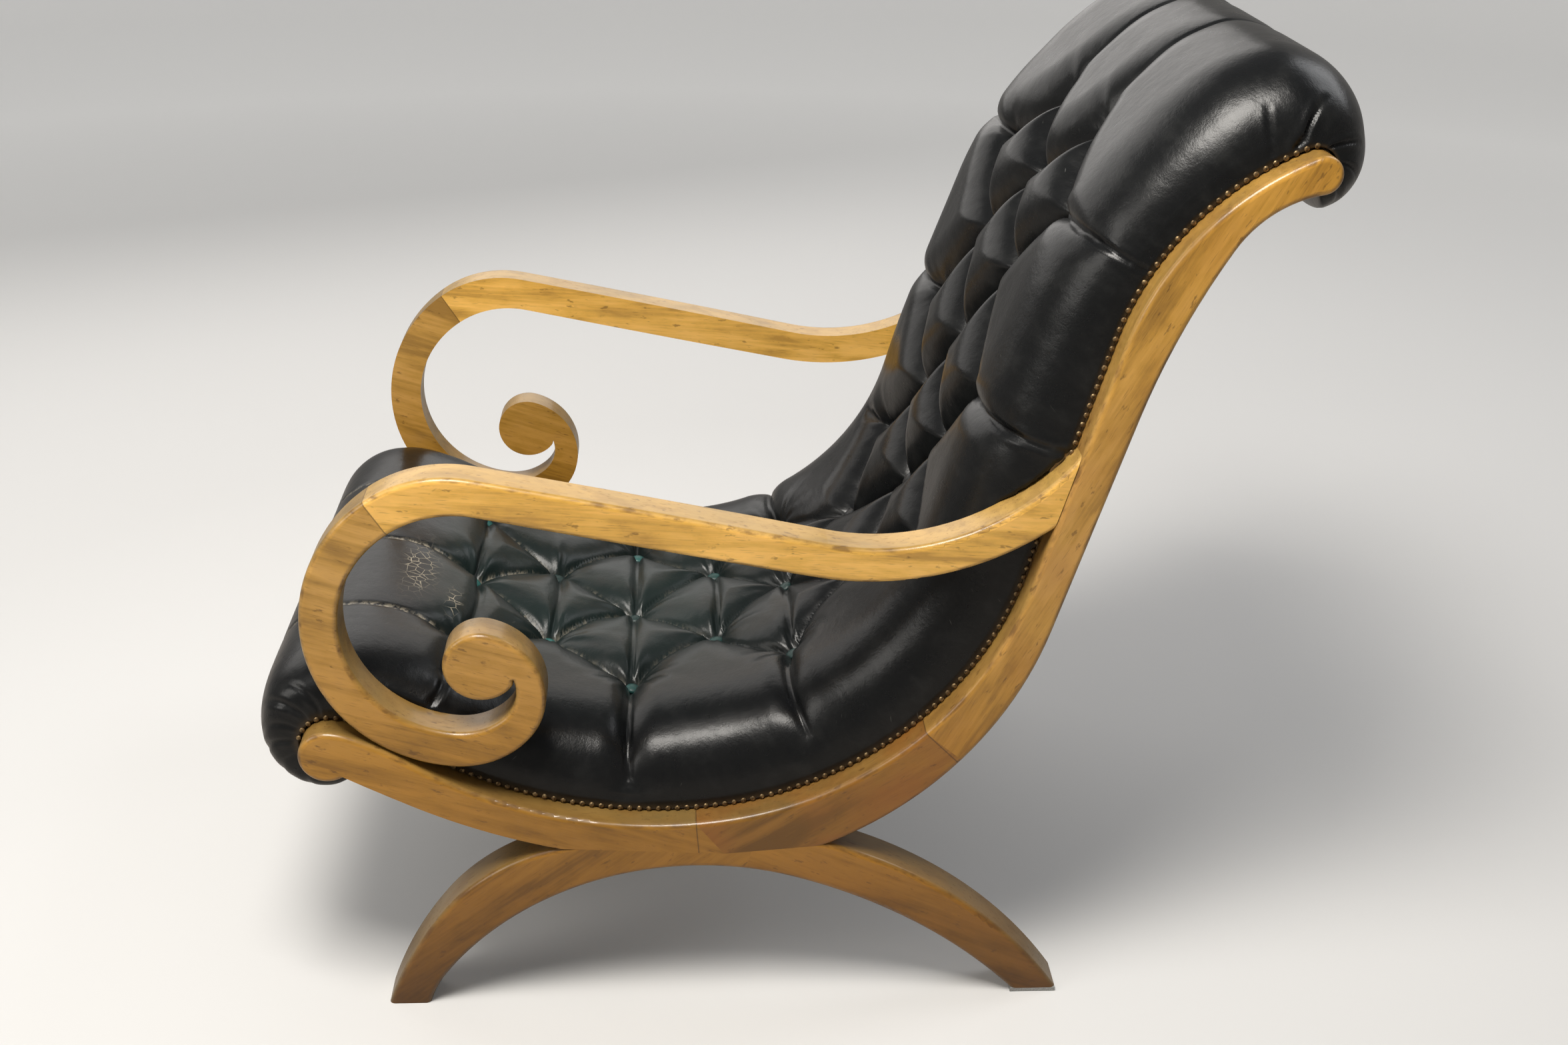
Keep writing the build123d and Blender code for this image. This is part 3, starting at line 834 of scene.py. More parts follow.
class Scatter:
    """Sets copies of one small piece at marked points, by Geometry Nodes."""

    INPUTS = (
        ("Pattern", "NodeSocketObject"),
        ("Tilt", "NodeSocketFloat"),
        ("Size Spread", "NodeSocketFloat"),
        ("Seed", "NodeSocketInt"),
        ("Finish", "NodeSocketMaterial"),
    )

    def __init__(self) -> None:
        """Build the node tree with its named inputs."""
        self.tree = bpy.data.node_groups.new("set_fasteners", "GeometryNodeTree")
        face = self.tree.interface
        face.new_socket("Geometry", in_out="OUTPUT", socket_type="NodeSocketGeometry")
        face.new_socket("Geometry", in_out="INPUT", socket_type="NodeSocketGeometry")
        self.sockets = {}
        for label, kind in self.INPUTS:
            socket = face.new_socket(label, in_out="INPUT", socket_type=kind)
            self.sockets[label] = socket.identifier
        given = self.tree.nodes.new("NodeGroupInput").outputs
        seed = given["Seed"]
        vector = {"data_type": "FLOAT_VECTOR"}
        pattern = self._add("GeometryNodeObjectInfo", {"Object": given["Pattern"]}, "Geometry")
        name = {"Name": "facing"}
        facing = self._add("GeometryNodeInputNamedAttribute", name, "Attribute", **vector)
        aligned = self._add("FunctionNodeAlignRotationToVector", {"Vector": facing}, axis="Z")
        tilt = {0: (1, 1, 0), "Scale": given["Tilt"]}
        lean = self._add("ShaderNodeVectorMath", tilt, operation="SCALE")
        back = self._add("ShaderNodeVectorMath", {0: lean, "Scale": -1.0}, operation="SCALE")
        turn = self._add("ShaderNodeVectorMath", {0: lean, 1: (0, 0, math.tau)}, operation="ADD")
        limits = {"Min": back, "Max": turn, "Seed": seed}
        chance = self._add("FunctionNodeRandomValue", limits, **vector)
        euler = self._add("FunctionNodeEulerToRotation", {"Euler": chance})
        poses = {0: aligned, 1: euler}
        pose = self._add("FunctionNodeRotateRotation", poses, rotation_space="LOCAL")
        least = self._add("ShaderNodeMath", {0: 1.0, 1: given["Size Spread"]}, operation="SUBTRACT")
        sizes = {2: least, 3: 1.0, "Seed": seed}
        size = self._add("FunctionNodeRandomValue", sizes, 1, data_type="FLOAT")
        spots = {"Points": given["Geometry"], "Instance": pattern, "Rotation": pose, "Scale": size}
        copies = self._add("GeometryNodeInstanceOnPoints", spots)
        real = self._add("GeometryNodeRealizeInstances", {"Geometry": copies})
        finish = {"Geometry": real, "Material": given["Finish"]}
        coat = self._add("GeometryNodeSetMaterial", finish)
        self.tree.links.new(coat, self.tree.nodes.new("NodeGroupOutput").inputs[0])

    def _add(
        self, kind: str, values: dict[int | str, object], out: int | str = 0, **settings: object
    ) -> bpy.types.NodeSocket:
        """Add a node.

        Args:
            kind: type of the node.
            values: values or sockets for its inputs, by name or number.
            out: output to hand back.
            settings: its properties, which are set first.

        Returns:
            The output socket.
        """
        made = self.tree.nodes.new(kind)
        for name, value in settings.items():
            setattr(made, name, value)
        for key, value in values.items():
            if isinstance(value, bpy.types.NodeSocket):
                self.tree.links.new(value, made.inputs[key])
            else:
                made.inputs[key].default_value = value
        return made.outputs[out]

    def set_on(
        self,
        name: str,
        points: np.ndarray,
        facing: np.ndarray,
        pattern: bpy.types.Object,
        finish: bpy.types.Material,
        tilt: float,
        spread: float,
        seed: int,
    ) -> bpy.types.Object:
        """Set one copy of the pattern at each point.

        Args:
            name: name of the new piece.
            points: where the copies go.
            facing: direction of each copy's own Z.
            pattern: piece to repeat, about its own origin.
            finish: material of the copies.
            tilt: most that a copy leans, in radians.
            spread: most that a copy is smaller, as a share.
            seed: seed of the small differences.

        Returns:
            A plain mesh object with all the copies.
        """
        holder = mesh_piece(name + "_points", points, [])
        mark = holder.data.attributes.new("facing", "FLOAT_VECTOR", "POINT")
        mark.data.foreach_set("vector", np.asarray(facing, np.float32).ravel())
        modifier = holder.modifiers.new("fasteners", "NODES")
        modifier.node_group = self.tree
        for (label, _), value in zip(self.INPUTS, (pattern, tilt, spread, seed, finish)):
            modifier[self.sockets[label]] = value
        bpy.context.view_layer.update()
        depsgraph = bpy.context.evaluated_depsgraph_get()
        mesh = bpy.data.meshes.new_from_object(holder.evaluated_get(depsgraph))
        mesh.name = name
        bpy.data.objects.remove(holder)
        piece = bpy.data.objects.new(name, mesh)
        bpy.context.scene.collection.objects.link(piece)
        return piece


# ------------------------------------------------------------ upholstery


@dataclass
class Pleat:
    """Fold line in the leather, straight on the flat hide but for a small bow."""

    start: Spot
    end: Spot
    levels: tuple[float, float, float]
    reach: float = 0.044
    bow: float = 0.0
    worn: float = 0.0
    crisp: float = 1.0

    def runs(self, count: int = 6) -> list[tuple[np.ndarray, np.ndarray, float, float]]:
        """Short straight runs with their shares of the way along."""
        first, last = np.array(self.start), np.array(self.end)
        across = np.array([last[1] - first[1], first[0] - last[0]])
        across /= max(np.linalg.norm(across), 1e-9)
        stops = np.linspace(0, 1, count + 1)
        bows = [across * self.bow * math.sin(math.pi * stop) for stop in stops]
        spots = [first + (last - first) * stop + bow for stop, bow in zip(stops, bows)]
        return list(zip(spots[:-1], spots[1:], stops[:-1], stops[1:]))

    def nearest(self, across: np.ndarray, along: np.ndarray) -> tuple[np.ndarray, np.ndarray]:
        """Distance to the fold and share of the way along it.

        Args:
            across: distances across the hide.
            along: distances along the hide.

        Returns:
            Both, for every point.
        """
        best = np.full(across.shape, np.inf)
        where = np.zeros(across.shape)
        for first, last, low, high in self.runs():
            way = last - first
            share = ((across - first[0]) * way[0] + (along - first[1]) * way[1]) / (way @ way)
            share = np.clip(share, 0, 1)
            gap = np.hypot(across - first[0] - share * way[0], along - first[1] - share * way[1])
            closer = gap < best
            best = np.where(closer, gap, best)
            where = np.where(closer, low + share * (high - low), where)
        return best, where

    def level(self, where: np.ndarray) -> np.ndarray:
        """Height of the fold's bottom along it, as a share."""
        start, middle, end = self.levels
        if end == start:
            return start + (middle - start) * np.sin(math.pi * where) ** 0.7
        rise = np.minimum(1, where * 2.5)
        fall = np.clip((where - 0.4) / 0.6, 0, 1)
        return start + (middle - start) * np.sin(rise * math.pi / 2) + (end - middle) * fall**1.5


@dataclass(frozen=True)
class Gather:
    """Small crease that leaves the nail line, from one spot on the hide to another."""

    start: Spot
    end: Spot
    depth: float
    width: float
    bow: float = 0.0


@dataclass
class TuftedPad:
    """Deep buttoned leather pad of the seat and back, with its two rolls."""

    column_step: float = PITCH / 52
    level_columns: int = 66
    side_columns: int = 44
    wall_columns: int = 6
    row_step: float = 0.0029
    end_rows: int = 6
    foot: float = 0.002
    pinch: float = 0.78
    melt: float = 0.10
    groove: float = 0.0030
    groove_width: float = 0.0026
    groove_end: float = 0.002
    worn_width: float = 0.0020
    pull: float = 0.0080
    full_height: float = 0.062
    rim: float = 0.009
    wall_band: float = 0.015
    wall_give: float = 0.0018
    hem: float = 0.0027
    low_bed: float = 0.0045
    arm_gap: float = 0.0008
    arm_edge: float = 0.0004
    arm_reach: float = 0.002
    arm_slope: float = 6.0
    seed: int = 7
    piece: bpy.types.Object | None = field(default=None, init=False)

    # Start place and its distance from the edge, the same for the end, then depth, width and bow
    SMALL_CREASES = (
        (6.87, 0.010, 6.93, 0.046, 0.0022, 0.0018, 0.0),
        (6.955, 0.005, 7.16, 0.048, 0.0036, 0.0024, 0.004),
        (7.244, 0.000, 7.45, 0.046, 0.0028, 0.0024, 0.005),
        (7.50, 0.004, 7.66, 0.045, 0.0022, 0.0026, 0.0),
        (7.74, 0.004, 7.84, 0.045, 0.0022, 0.0030, 0.0),
        (5.525, 0.000, 5.504, 0.100, 0.0026, 0.0024, 0.0),
        (6.280, 0.000, 6.2545, 0.100, 0.0026, 0.0024, 0.0),
        (2.905, 0.030, 2.905, 0.095, 0.0030, 0.0026, 0.004),
        (0.95, 0.004, 0.82, 0.050, 0.0013, 0.0026, 0.003),
        (0.84, 0.004, 0.70, 0.056, 0.0020, 0.0030, 0.003),
        (0.73, 0.004, 0.60, 0.048, 0.0013, 0.0028, 0.003),
        (0.62, 0.004, 0.50, 0.056, 0.0018, 0.0030, 0.003),
        (0.50, 0.004, 0.40, 0.046, 0.0012, 0.0034, 0.003),
        (0.36, 0.004, 0.28, 0.040, 0.0012, 0.0034, 0.0),
        (1.9, 0.004, 1.55, 0.045, 0.0018, 0.0034, 0.003),
    )
    # Row of the button, share of the way to the edge, end place, middle and end level, crispness
    SIDE_FOLDS = (
        (0, 0.50, 2.94, 0.55, 0.78, 1.0),
        (2, 0.86, 3.70, 0.55, 0.74, 1.0),
        (4, 0.80, 4.275, 0.55, 0.86, 1.0),
        (6, 0.30, 4.83, 0.55, 0.9, 1.0),
        (8, 0.76, 5.521, 0.60, 0.98, 1.8),
        (10, 0.76, 6.273, 0.60, 0.98, 1.8),
    )

    def __post_init__(self) -> None:
        """Work out the grid of the hide."""
        fine = np.linspace(STUFFING[0, 0], STUFFING[-1, 0], 6000)
        top = SITTING.at(fine, 0.8 * CROWN * through(STUFFING, 2, fine))
        self._fine = fine
        self._run = lengths(top)
        close = np.linspace(0, 1, self.end_rows, endpoint=False) ** 2 * self.row_step * 3
        last = self._run[-1] - close[-1] - 0.5 * self.row_step
        even = np.arange(close[-1] + self.row_step, last, self.row_step)
        self.run = np.concatenate([close, even, self._run[-1] - close[::-1]])
        self.place = np.interp(self.run, self._run, fine)
        ends = np.minimum(self.run, self._run[-1] - self.run) / (self.row_step * 3)
        rounding = np.sqrt(1 - (1 - np.clip(ends, 0, 1)) ** 2) * 0.75 + 0.25
        self.pit = (CROWN * through(STUFFING, 1, self.place) - self.sunk(self.place)) * rounding
        self.crown = CROWN * through(STUFFING, 2, self.place) * rounding
        level = np.arange(self.level_columns + 1) * self.column_step
        reach = PAD_HALF - level[-1]
        along = np.sin(np.linspace(0, 0.475 * math.pi, self.side_columns + 1)[1:])
        upright = np.full(self.wall_columns, PAD_HALF)
        self.half_x = np.concatenate([level, level[-1] + along * reach, upright])
        fullness = (3.6, 3.4, 2.6, 2.3, 2.1, 2.1)
        power = np.interp(self.place, (0.3, 1.2, 2.6, 5.0, 6.6, 7.2), fullness)[:, None]
        side = (1 - along[None, :] ** power) ** (1 / power)
        wall = side[:, -1:] * (1 - np.arange(1, self.wall_columns + 1) / self.wall_columns)[None, :]
        self.half_h = np.concatenate([np.ones((len(self.run), len(level))), side, wall], axis=1)
        nominal = self.half_h[len(self.run) // 2] * self.full_height
        self.half_run = lengths(np.stack([self.half_x, nominal], axis=1))

    def sunk(self, place: np.ndarray | float) -> np.ndarray:
        """How far the buttons pull the hide below their solids, deeper up the back, in metres."""
        return self.pull * np.interp(place, (4.2, 4.9, 6.6, 6.9), (0.3, 1.0, 1.0, 0.0))

    def run_at(self, place: float) -> float:
        """Distance along the hide at a place."""
        return float(np.interp(place, self._fine, self._run))

    def button_spots(self) -> list[tuple[int, float, float]]:
        """Row number, distance across and distance along of every button."""
        spots = []
        for number, (place, _, _) in enumerate(ROWS):
            across = (-0.5, 0.5) if number % 2 else (-1, 0, 1)
            spots += [(number, share * PITCH, self.run_at(place)) for share in across]
        return spots

    def pleats(self) -> list[Pleat]:
        """Every fold of the hide."""
        found = self.button_folds()
        edge = self.half_run[-1]
        for number, share, place, middle, end_level, crisp in self.SIDE_FOLDS:
            s = self.run_at(ROWS[number, 0])
            for side in (-1, 1):
                end = (side * (PITCH + (edge - PITCH) * share), self.run_at(place))
                levels = (0.0, middle, end_level)
                found.append(Pleat((side * PITCH, s), end, levels, 0.026, side * 0.003, crisp=crisp))
        for side in (-0.5, 0.5):
            s = self.run_at(ROWS[-1, 0])
            end = (side * PITCH * 1.04, self.run_at(7.6))
            levels = (0.0, 0.70, 0.93)
            found.append(Pleat((side * PITCH, s), end, levels, reach=0.036, bow=-side * 0.012))
        for side in (-1, 0, 1):
            s = self.run_at(ROWS[0, 0])
            end = (side * PITCH * 1.03, self.run_at(0.7))
            found.append(Pleat((side * PITCH, s), end, (0.0, 0.80, 0.96), worn=1.0))
        return found

    def button_folds(self) -> list[Pleat]:
        """Folds from button to button."""
        chance = np.random.default_rng(self.seed)
        found = []
        spots = self.button_spots()
        for number, x, s in spots:
            seat = number < SEAT_ROWS
            for other, x2, s2 in spots:
                if other == number + 1 and abs(x2 - x) < 0.6 * PITCH:
                    bow = chance.uniform(-0.004, 0.004)
                    bow += math.copysign(0.006 if seat else 0.004, x2 - x)
                    worn = (0.75, 0.45, 0.2, 0.0)[min(number, 3)]
                    middle, reach = (0.58, 0.044) if seat else (0.08, 0.050)
                    found.append(Pleat((x, s), (x2, s2), (0.0, middle, 0.0), reach, bow, worn))
                if other == number and 0 < x2 - x < 1.1 * PITCH and seat:
                    levels = (0.0, chance.uniform(0.72, 0.86), 0.0)
                    bow = chance.uniform(-0.007, 0.007)
                    found.append(Pleat((x, s), (x2, s2), levels, reach=0.022, bow=bow))
        return found

    def gathers(self) -> list[Gather]:
        """Small creases at the sides of the rolls and by the arm."""
        edge = self.half_run[-1]
        found = []
        for place, inward, place2, inward2, depth, width, bow in self.SMALL_CREASES:
            for side in (-1, 1):
                start = (side * (edge - inward), self.run_at(place))
                end = (side * (edge - inward2), self.run_at(place2))
                found.append(Gather(start, end, depth, width, bow * side))
        return found

    def folds(
        self, across: np.ndarray, along: np.ndarray
    ) -> tuple[np.ndarray, np.ndarray, np.ndarray]:
        """Height of the hide between its folds.

        Args:
            across: distances across the hide.
            along: distances along the hide.

        Returns:
            Share from button height to crown, closeness to a fold, and wear of the folds.
        """
        share = np.ones(across.shape)
        near = np.zeros(across.shape)
        worn = np.zeros(across.shape)
        for pleat in self.pleats():
            best, where = pleat.nearest(across, along)
            level = pleat.level(where)
            gap = np.clip(best / pleat.reach, 0, 1)
            rise = level + (1 - level) * (1 - (1 - gap) ** 2) ** self.pinch
            blend = np.maximum(self.melt - np.abs(share - rise), 0) / self.melt
            share = np.minimum(share, rise) - blend * blend * self.melt / 4 * (1 - rise) ** 0.5
            depth = np.clip((1.25 - level) * pleat.crisp, 0, 1)
            near = np.maximum(near, depth * np.exp(-((best / self.groove_width) ** 2)))
            worn = np.maximum(worn, pleat.worn * np.exp(-((best / self.worn_width) ** 2)))
        return share, near, worn

    def wrinkles(self, across: np.ndarray, along: np.ndarray) -> np.ndarray:
        """Small folds that spread from the buttons and gather at the rolls' sides.

        Args:
            across: distances across the hide.
            along: distances along the hide.

        Returns:
            How far each point sinks, in metres.
        """
        chance = np.random.default_rng(self.seed + 1)
        sink = np.zeros(across.shape)
        for number, x, s in self.button_spots():
            away = np.hypot(across - x, along - s)
            angle = np.arctan2(along - s, across - x)
            turns = chance.integers(7, 11)
            phase = chance.uniform(0, math.tau, 2)
            strength = 0.0025 if number < SEAT_ROWS else 0.0008
            star = np.cos(turns * angle + phase[0]) + 0.6 * np.cos((turns + 5) * angle + phase[1])
            sink += strength * star * np.exp(-away / 0.019) * np.clip(away / 0.014, 0, 1)
        for gather in self.gathers():
            pleat = Pleat(gather.start, gather.end, (0.0, 0.0, 0.0), bow=gather.bow)
            best, where = pleat.nearest(across, along)
            fade = np.clip((1 - where) / 0.5, 0, 1) ** 0.7
            lip = (best - 2.4 * gather.width) / (1.5 * gather.width)
            sink += gather.depth * np.exp(-((best / gather.width) ** 2)) * fade
            sink -= 0.3 * gather.depth * np.exp(-(lip**2)) * fade
        return sink

    def surface(self) -> tuple[np.ndarray, np.ndarray, np.ndarray, np.ndarray]:
        """Shape the outside of the hide.

        Returns:
            Its points, the distances across and along, and the wear of the folds.
        """
        x = np.concatenate([-self.half_x[:0:-1], self.half_x])
        h = np.concatenate([self.half_h[:, :0:-1], self.half_h], axis=1)
        run = np.concatenate([-self.half_run[:0:-1], self.half_run])
        across, along = np.meshgrid(run, self.run)
        share, near, worn = self.folds(across, along)
        crown = self.crown[:, None]
        inward = self.half_run[-1] - np.abs(across)
        rim = np.clip(inward / self.rim, 0, 1)
        depth = (crown - self.pit[:, None]) * (1 - share) + self.wrinkles(across, along)
        depth = depth * rim * (2 - rim)
        depth += self.groove * near * np.clip(inward / self.groove_end, 0, 1)
        height = self.foot + (crown - self.foot) * h
        width = np.broadcast_to(x[None, :], height.shape)
        lean_x = np.gradient(height, axis=1)
        lean_h = np.gradient(width, axis=1)
        size = np.hypot(lean_x, lean_h)
        width = width + depth * lean_x / size
        height = height - depth * lean_h / size
        bed = self.underside()[:, None] + COVER
        level = np.abs(x)[None, :] < PAD_HALF - self.wall_band
        height = np.where(level, np.maximum(height, bed), np.maximum(height, self.foot))
        low = ~level & (height < bed)
        held = np.maximum(np.abs(width), PAD_HALF - self.wall_give)
        width = np.where(low, np.sign(width) * held, width)
        points = sections(width, self.place[:, None], height)
        points[..., 0] = self.beside_arms(points)
        return points, across, along, worn

    def build(self) -> bpy.types.Object:
        """Shape the pad as one closed mesh.

        Returns:
            The pad, with its map and marks.
        """
        top, across, along, worn = self.surface()
        run = across[0]
        hem = PAD_HALF - self.hem
        under_x = np.array([hem, hem, 0.18, 0.09, 0.0, -0.09, -0.18, -hem, -hem])
        under_h = np.repeat(self.underside()[:, None], len(under_x), axis=1)
        under_h[:, [0, -1]] = self.foot
        under = sections(np.broadcast_to(under_x, under_h.shape), self.place[:, None], under_h)
        limit = np.abs(top[:, [-1, 0], 0]).min(axis=1)[:, None] - 0.0005
        under[..., 0] = np.clip(under[..., 0], -limit, limit)
        points = np.concatenate([top, under], axis=1)
        faces = closed_faces(*points.shape[:2])
        self.piece = mesh_piece("tufted_leather_pad", points.reshape(-1, 3), faces)
        under_run = np.linspace(run[-1], run[-1] + 0.3, len(under_x))
        sheet = np.concatenate([run, under_run])[None, :]
        spots = np.stack(np.broadcast_arrays(sheet, self.run[:, None]), -1)
        keep_map(self.piece, spots)
        extra = ((0, 0), (0, len(under_x)))
        keep_number(self.piece, "crease", np.pad(worn, extra))
        for name, values in self.wear(across, along).items():
            keep_number(self.piece, name, np.pad(values, extra))
        return self.piece

    def wear(self, across: np.ndarray, along: np.ndarray) -> dict[str, np.ndarray]:
        """Where the hide is worn.

        Args:
            across: distances across the hide.
            along: distances along the hide.

        Returns:
            The seat, its two rubbed spots and the trimmed edge, each from 0 to 1.
        """
        seat = 1 - np.clip((self.place - 3.9) / 0.5, 0, 1)
        seat *= np.clip((self.place - 2.2) / 0.5, 0, 1)
        side = np.clip(1.25 - np.abs(across) / 0.20, 0, 1)
        rub = np.zeros(across.shape)
        for spot, long, middle, wide in ((2.25, 0.16, 0.055, 0.035), (2.81, 0.07, 0.100, 0.016)):
            ahead = (along - self.run_at(spot)) / (self.run_at(spot + long) - self.run_at(spot))
            rub = np.maximum(rub, np.exp(-(ahead**2) - ((across - middle) / wide) ** 2))
        inward = np.clip(self.half_run[-1] - np.abs(across) - 0.001, 0, 1)
        trim = np.exp(-((inward / 0.0022) ** 2))
        return {"seat": seat[:, None] * side, "rub": rub, "trim": trim}

    def underside(self) -> np.ndarray:
        """Height of the underside over the sitting line at each row."""
        bed = STRIP_PROUD + WEBBING + GAP + BASE_CLOTH + GAP
        front, back = (self.place - 1.9) / 0.1, (6.95 - self.place) / 0.06
        return self.low_bed + (bed - self.low_bed) * np.clip(front, 0, 1) * np.clip(back, 0, 1)

    def beside_arms(self, points: np.ndarray) -> np.ndarray:
        """Widths of the points, pressed in where an arm lies against the leather.

        Args:
            points: corners of the hide.

        Returns:
            The widths after the arms press on them.
        """
        spots = points[..., 1:] + np.array([MIDDLE, 0.0])
        width = points[..., 0]
        close = np.abs(width) > ARM_FACE - self.arm_reach
        steps = np.linspace(0, 1, 61)
        outer = ARM_OUTER.at(steps, -self.arm_edge)
        foot = np.concatenate([outer, ARM_INNER.at(steps[::-1], self.arm_edge)])
        scroll = ARM_OUTER.at(3 + 4 * steps, -self.arm_edge)
        gap = np.minimum(clearance(spots[close], foot), clearance(spots[close], scroll))
        allowed = ARM_FACE - self.arm_gap + gap * self.arm_slope
        width = width.copy()
        width[close] = np.clip(width[close], -allowed, allowed)
        return width

    def dress(self) -> None:
        """Give the pad its hide and set it in place of its solid."""
        self.piece.data.materials.append(TuftedLeather("black_leather").make())
        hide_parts("leather_pad")
        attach(self.piece, BODY)


@dataclass
class Buttons:
    """Leather covered buttons, pulled down into the tufts."""

    radius: float = 0.0078
    lift: float = -0.0004
    sinking: float = 0.8
    cone: float = 0.0068
    dome: float = 0.0036
    turns: int = 20

    def pattern(self) -> bpy.types.Object:
        """One button with a rounded rim."""
        r, rim = self.radius, self.cone
        skirt = [(0, 0.001), (r * 0.5, rim * 0.45), (r * 0.93, rim - 0.0006)]
        angles = np.linspace(0, 1.45, 6)
        dome = [(r * math.cos(a), rim + 0.0012 + self.dome * math.sin(a)) for a in angles]
        profile = [*skirt, *dome, (0, rim + 0.0012 + self.dome)]
        return lathe("button_pattern", profile, self.turns)

    def build(self, scatter: Scatter, pad: TuftedPad) -> None:
        """Set the seat and back buttons.

        Args:
            scatter: sets the copies.
            pad: pad that holds the buttons.
        """
        pattern = self.pattern()
        green, dark_green = (0.016, 0.115, 0.105, 1), (0.010, 0.030, 0.028, 1)
        black, dark_black = (0.016, 0.018, 0.020, 1), (0.008, 0.009, 0.010, 1)
        seat = ButtonLeather("seat_button_leather", green, dark_green).make()
        back = ButtonLeather("back_button_leather", black, dark_black).make()
        back_rows = range(SEAT_ROWS, len(ROWS))
        groups = (
            ("seat_button_covers", "seat_buttons", "seat_button_leather", range(SEAT_ROWS), seat),
            ("back_button_covers", "back_buttons", "back_button_leather", back_rows, back),
        )
        for name, node, slot, numbers, finish in groups:
            rows = [row for row in pad.button_spots() if row[0] in numbers]
            place = np.array([ROWS[row[0], 0] for row in rows])
            height = np.array([ROWS[row[0], 1] for row in rows]) * CROWN + self.lift
            height -= self.sinking * pad.sunk(place)
            points = sections(np.array([row[1] for row in rows]), place, height)
            facing = np.concatenate([np.zeros((len(rows), 1)), outward(place)], axis=1)
            piece = scatter.set_on(name, points, facing, pattern, finish, 0.10, 0.04, 11)
            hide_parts(node)
            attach(piece, BODY)
            log.info("%s: %d buttons", name, len(rows))
        bpy.data.objects.remove(pattern)


@dataclass
class NailRows:
    """Round brass nails along both lower edges of the leather."""

    pitch: float = 0.0088
    radius: float = 0.0027
    height: float = 0.0031
    proud: float = 0.0002
    turns: int = 10

    def pattern(self) -> bpy.types.Object:
        """One domed nail head."""
        r = self.radius
        dome = [(r * math.cos(a), 0.0002 + 0.0016 * math.sin(a)) for a in (0, 0.45, 0.9, 1.25)]
        profile = [(0, -0.0012), (r * 0.8, -0.001), *dome, (0, 0.0018)]
        return lathe("nail_pattern", profile, self.turns)

    def build(self, scatter: Scatter) -> None:
        """Set a row of nails on each side.

        Args:
            scatter: sets the copies.
        """
        fine = np.linspace(0.66, 7.10, 5000)
        line = SITTING.at(fine, self.height)
        length = lengths(line)
        spots = np.arange(0, length[-1], self.pitch)
        place = np.interp(spots, length, fine)
        pattern = self.pattern()
        finish = TarnishedBrass("tarnished_brass").make()
        for side in Side:
            across = np.full(len(place), side.value * (PAD_HALF + self.proud))
            points = sections(across, place, self.height)
            facing = np.tile((float(side.value), 0.0, 0.0), (len(place), 1))
            name = side.name.lower() + "_brass_nails"
            seed = 23 + side.value
            piece = scatter.set_on(name, points, facing, pattern, finish, 0.16, 0.08, seed)
            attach(piece, BODY)
            log.info("%s: %d nails", name, len(place))
        bpy.data.objects.remove(pattern)


@dataclass(frozen=True)
class Sheet:
    """One stretched sheet that follows the sitting line.

    Span is its first and last place, low and high are the heights of its faces over the line.
    """

    name: str
    node: str
    slot: str
    span: tuple[float, float]
    low: float
    high: float
    half: float
    finish: WovenCloth


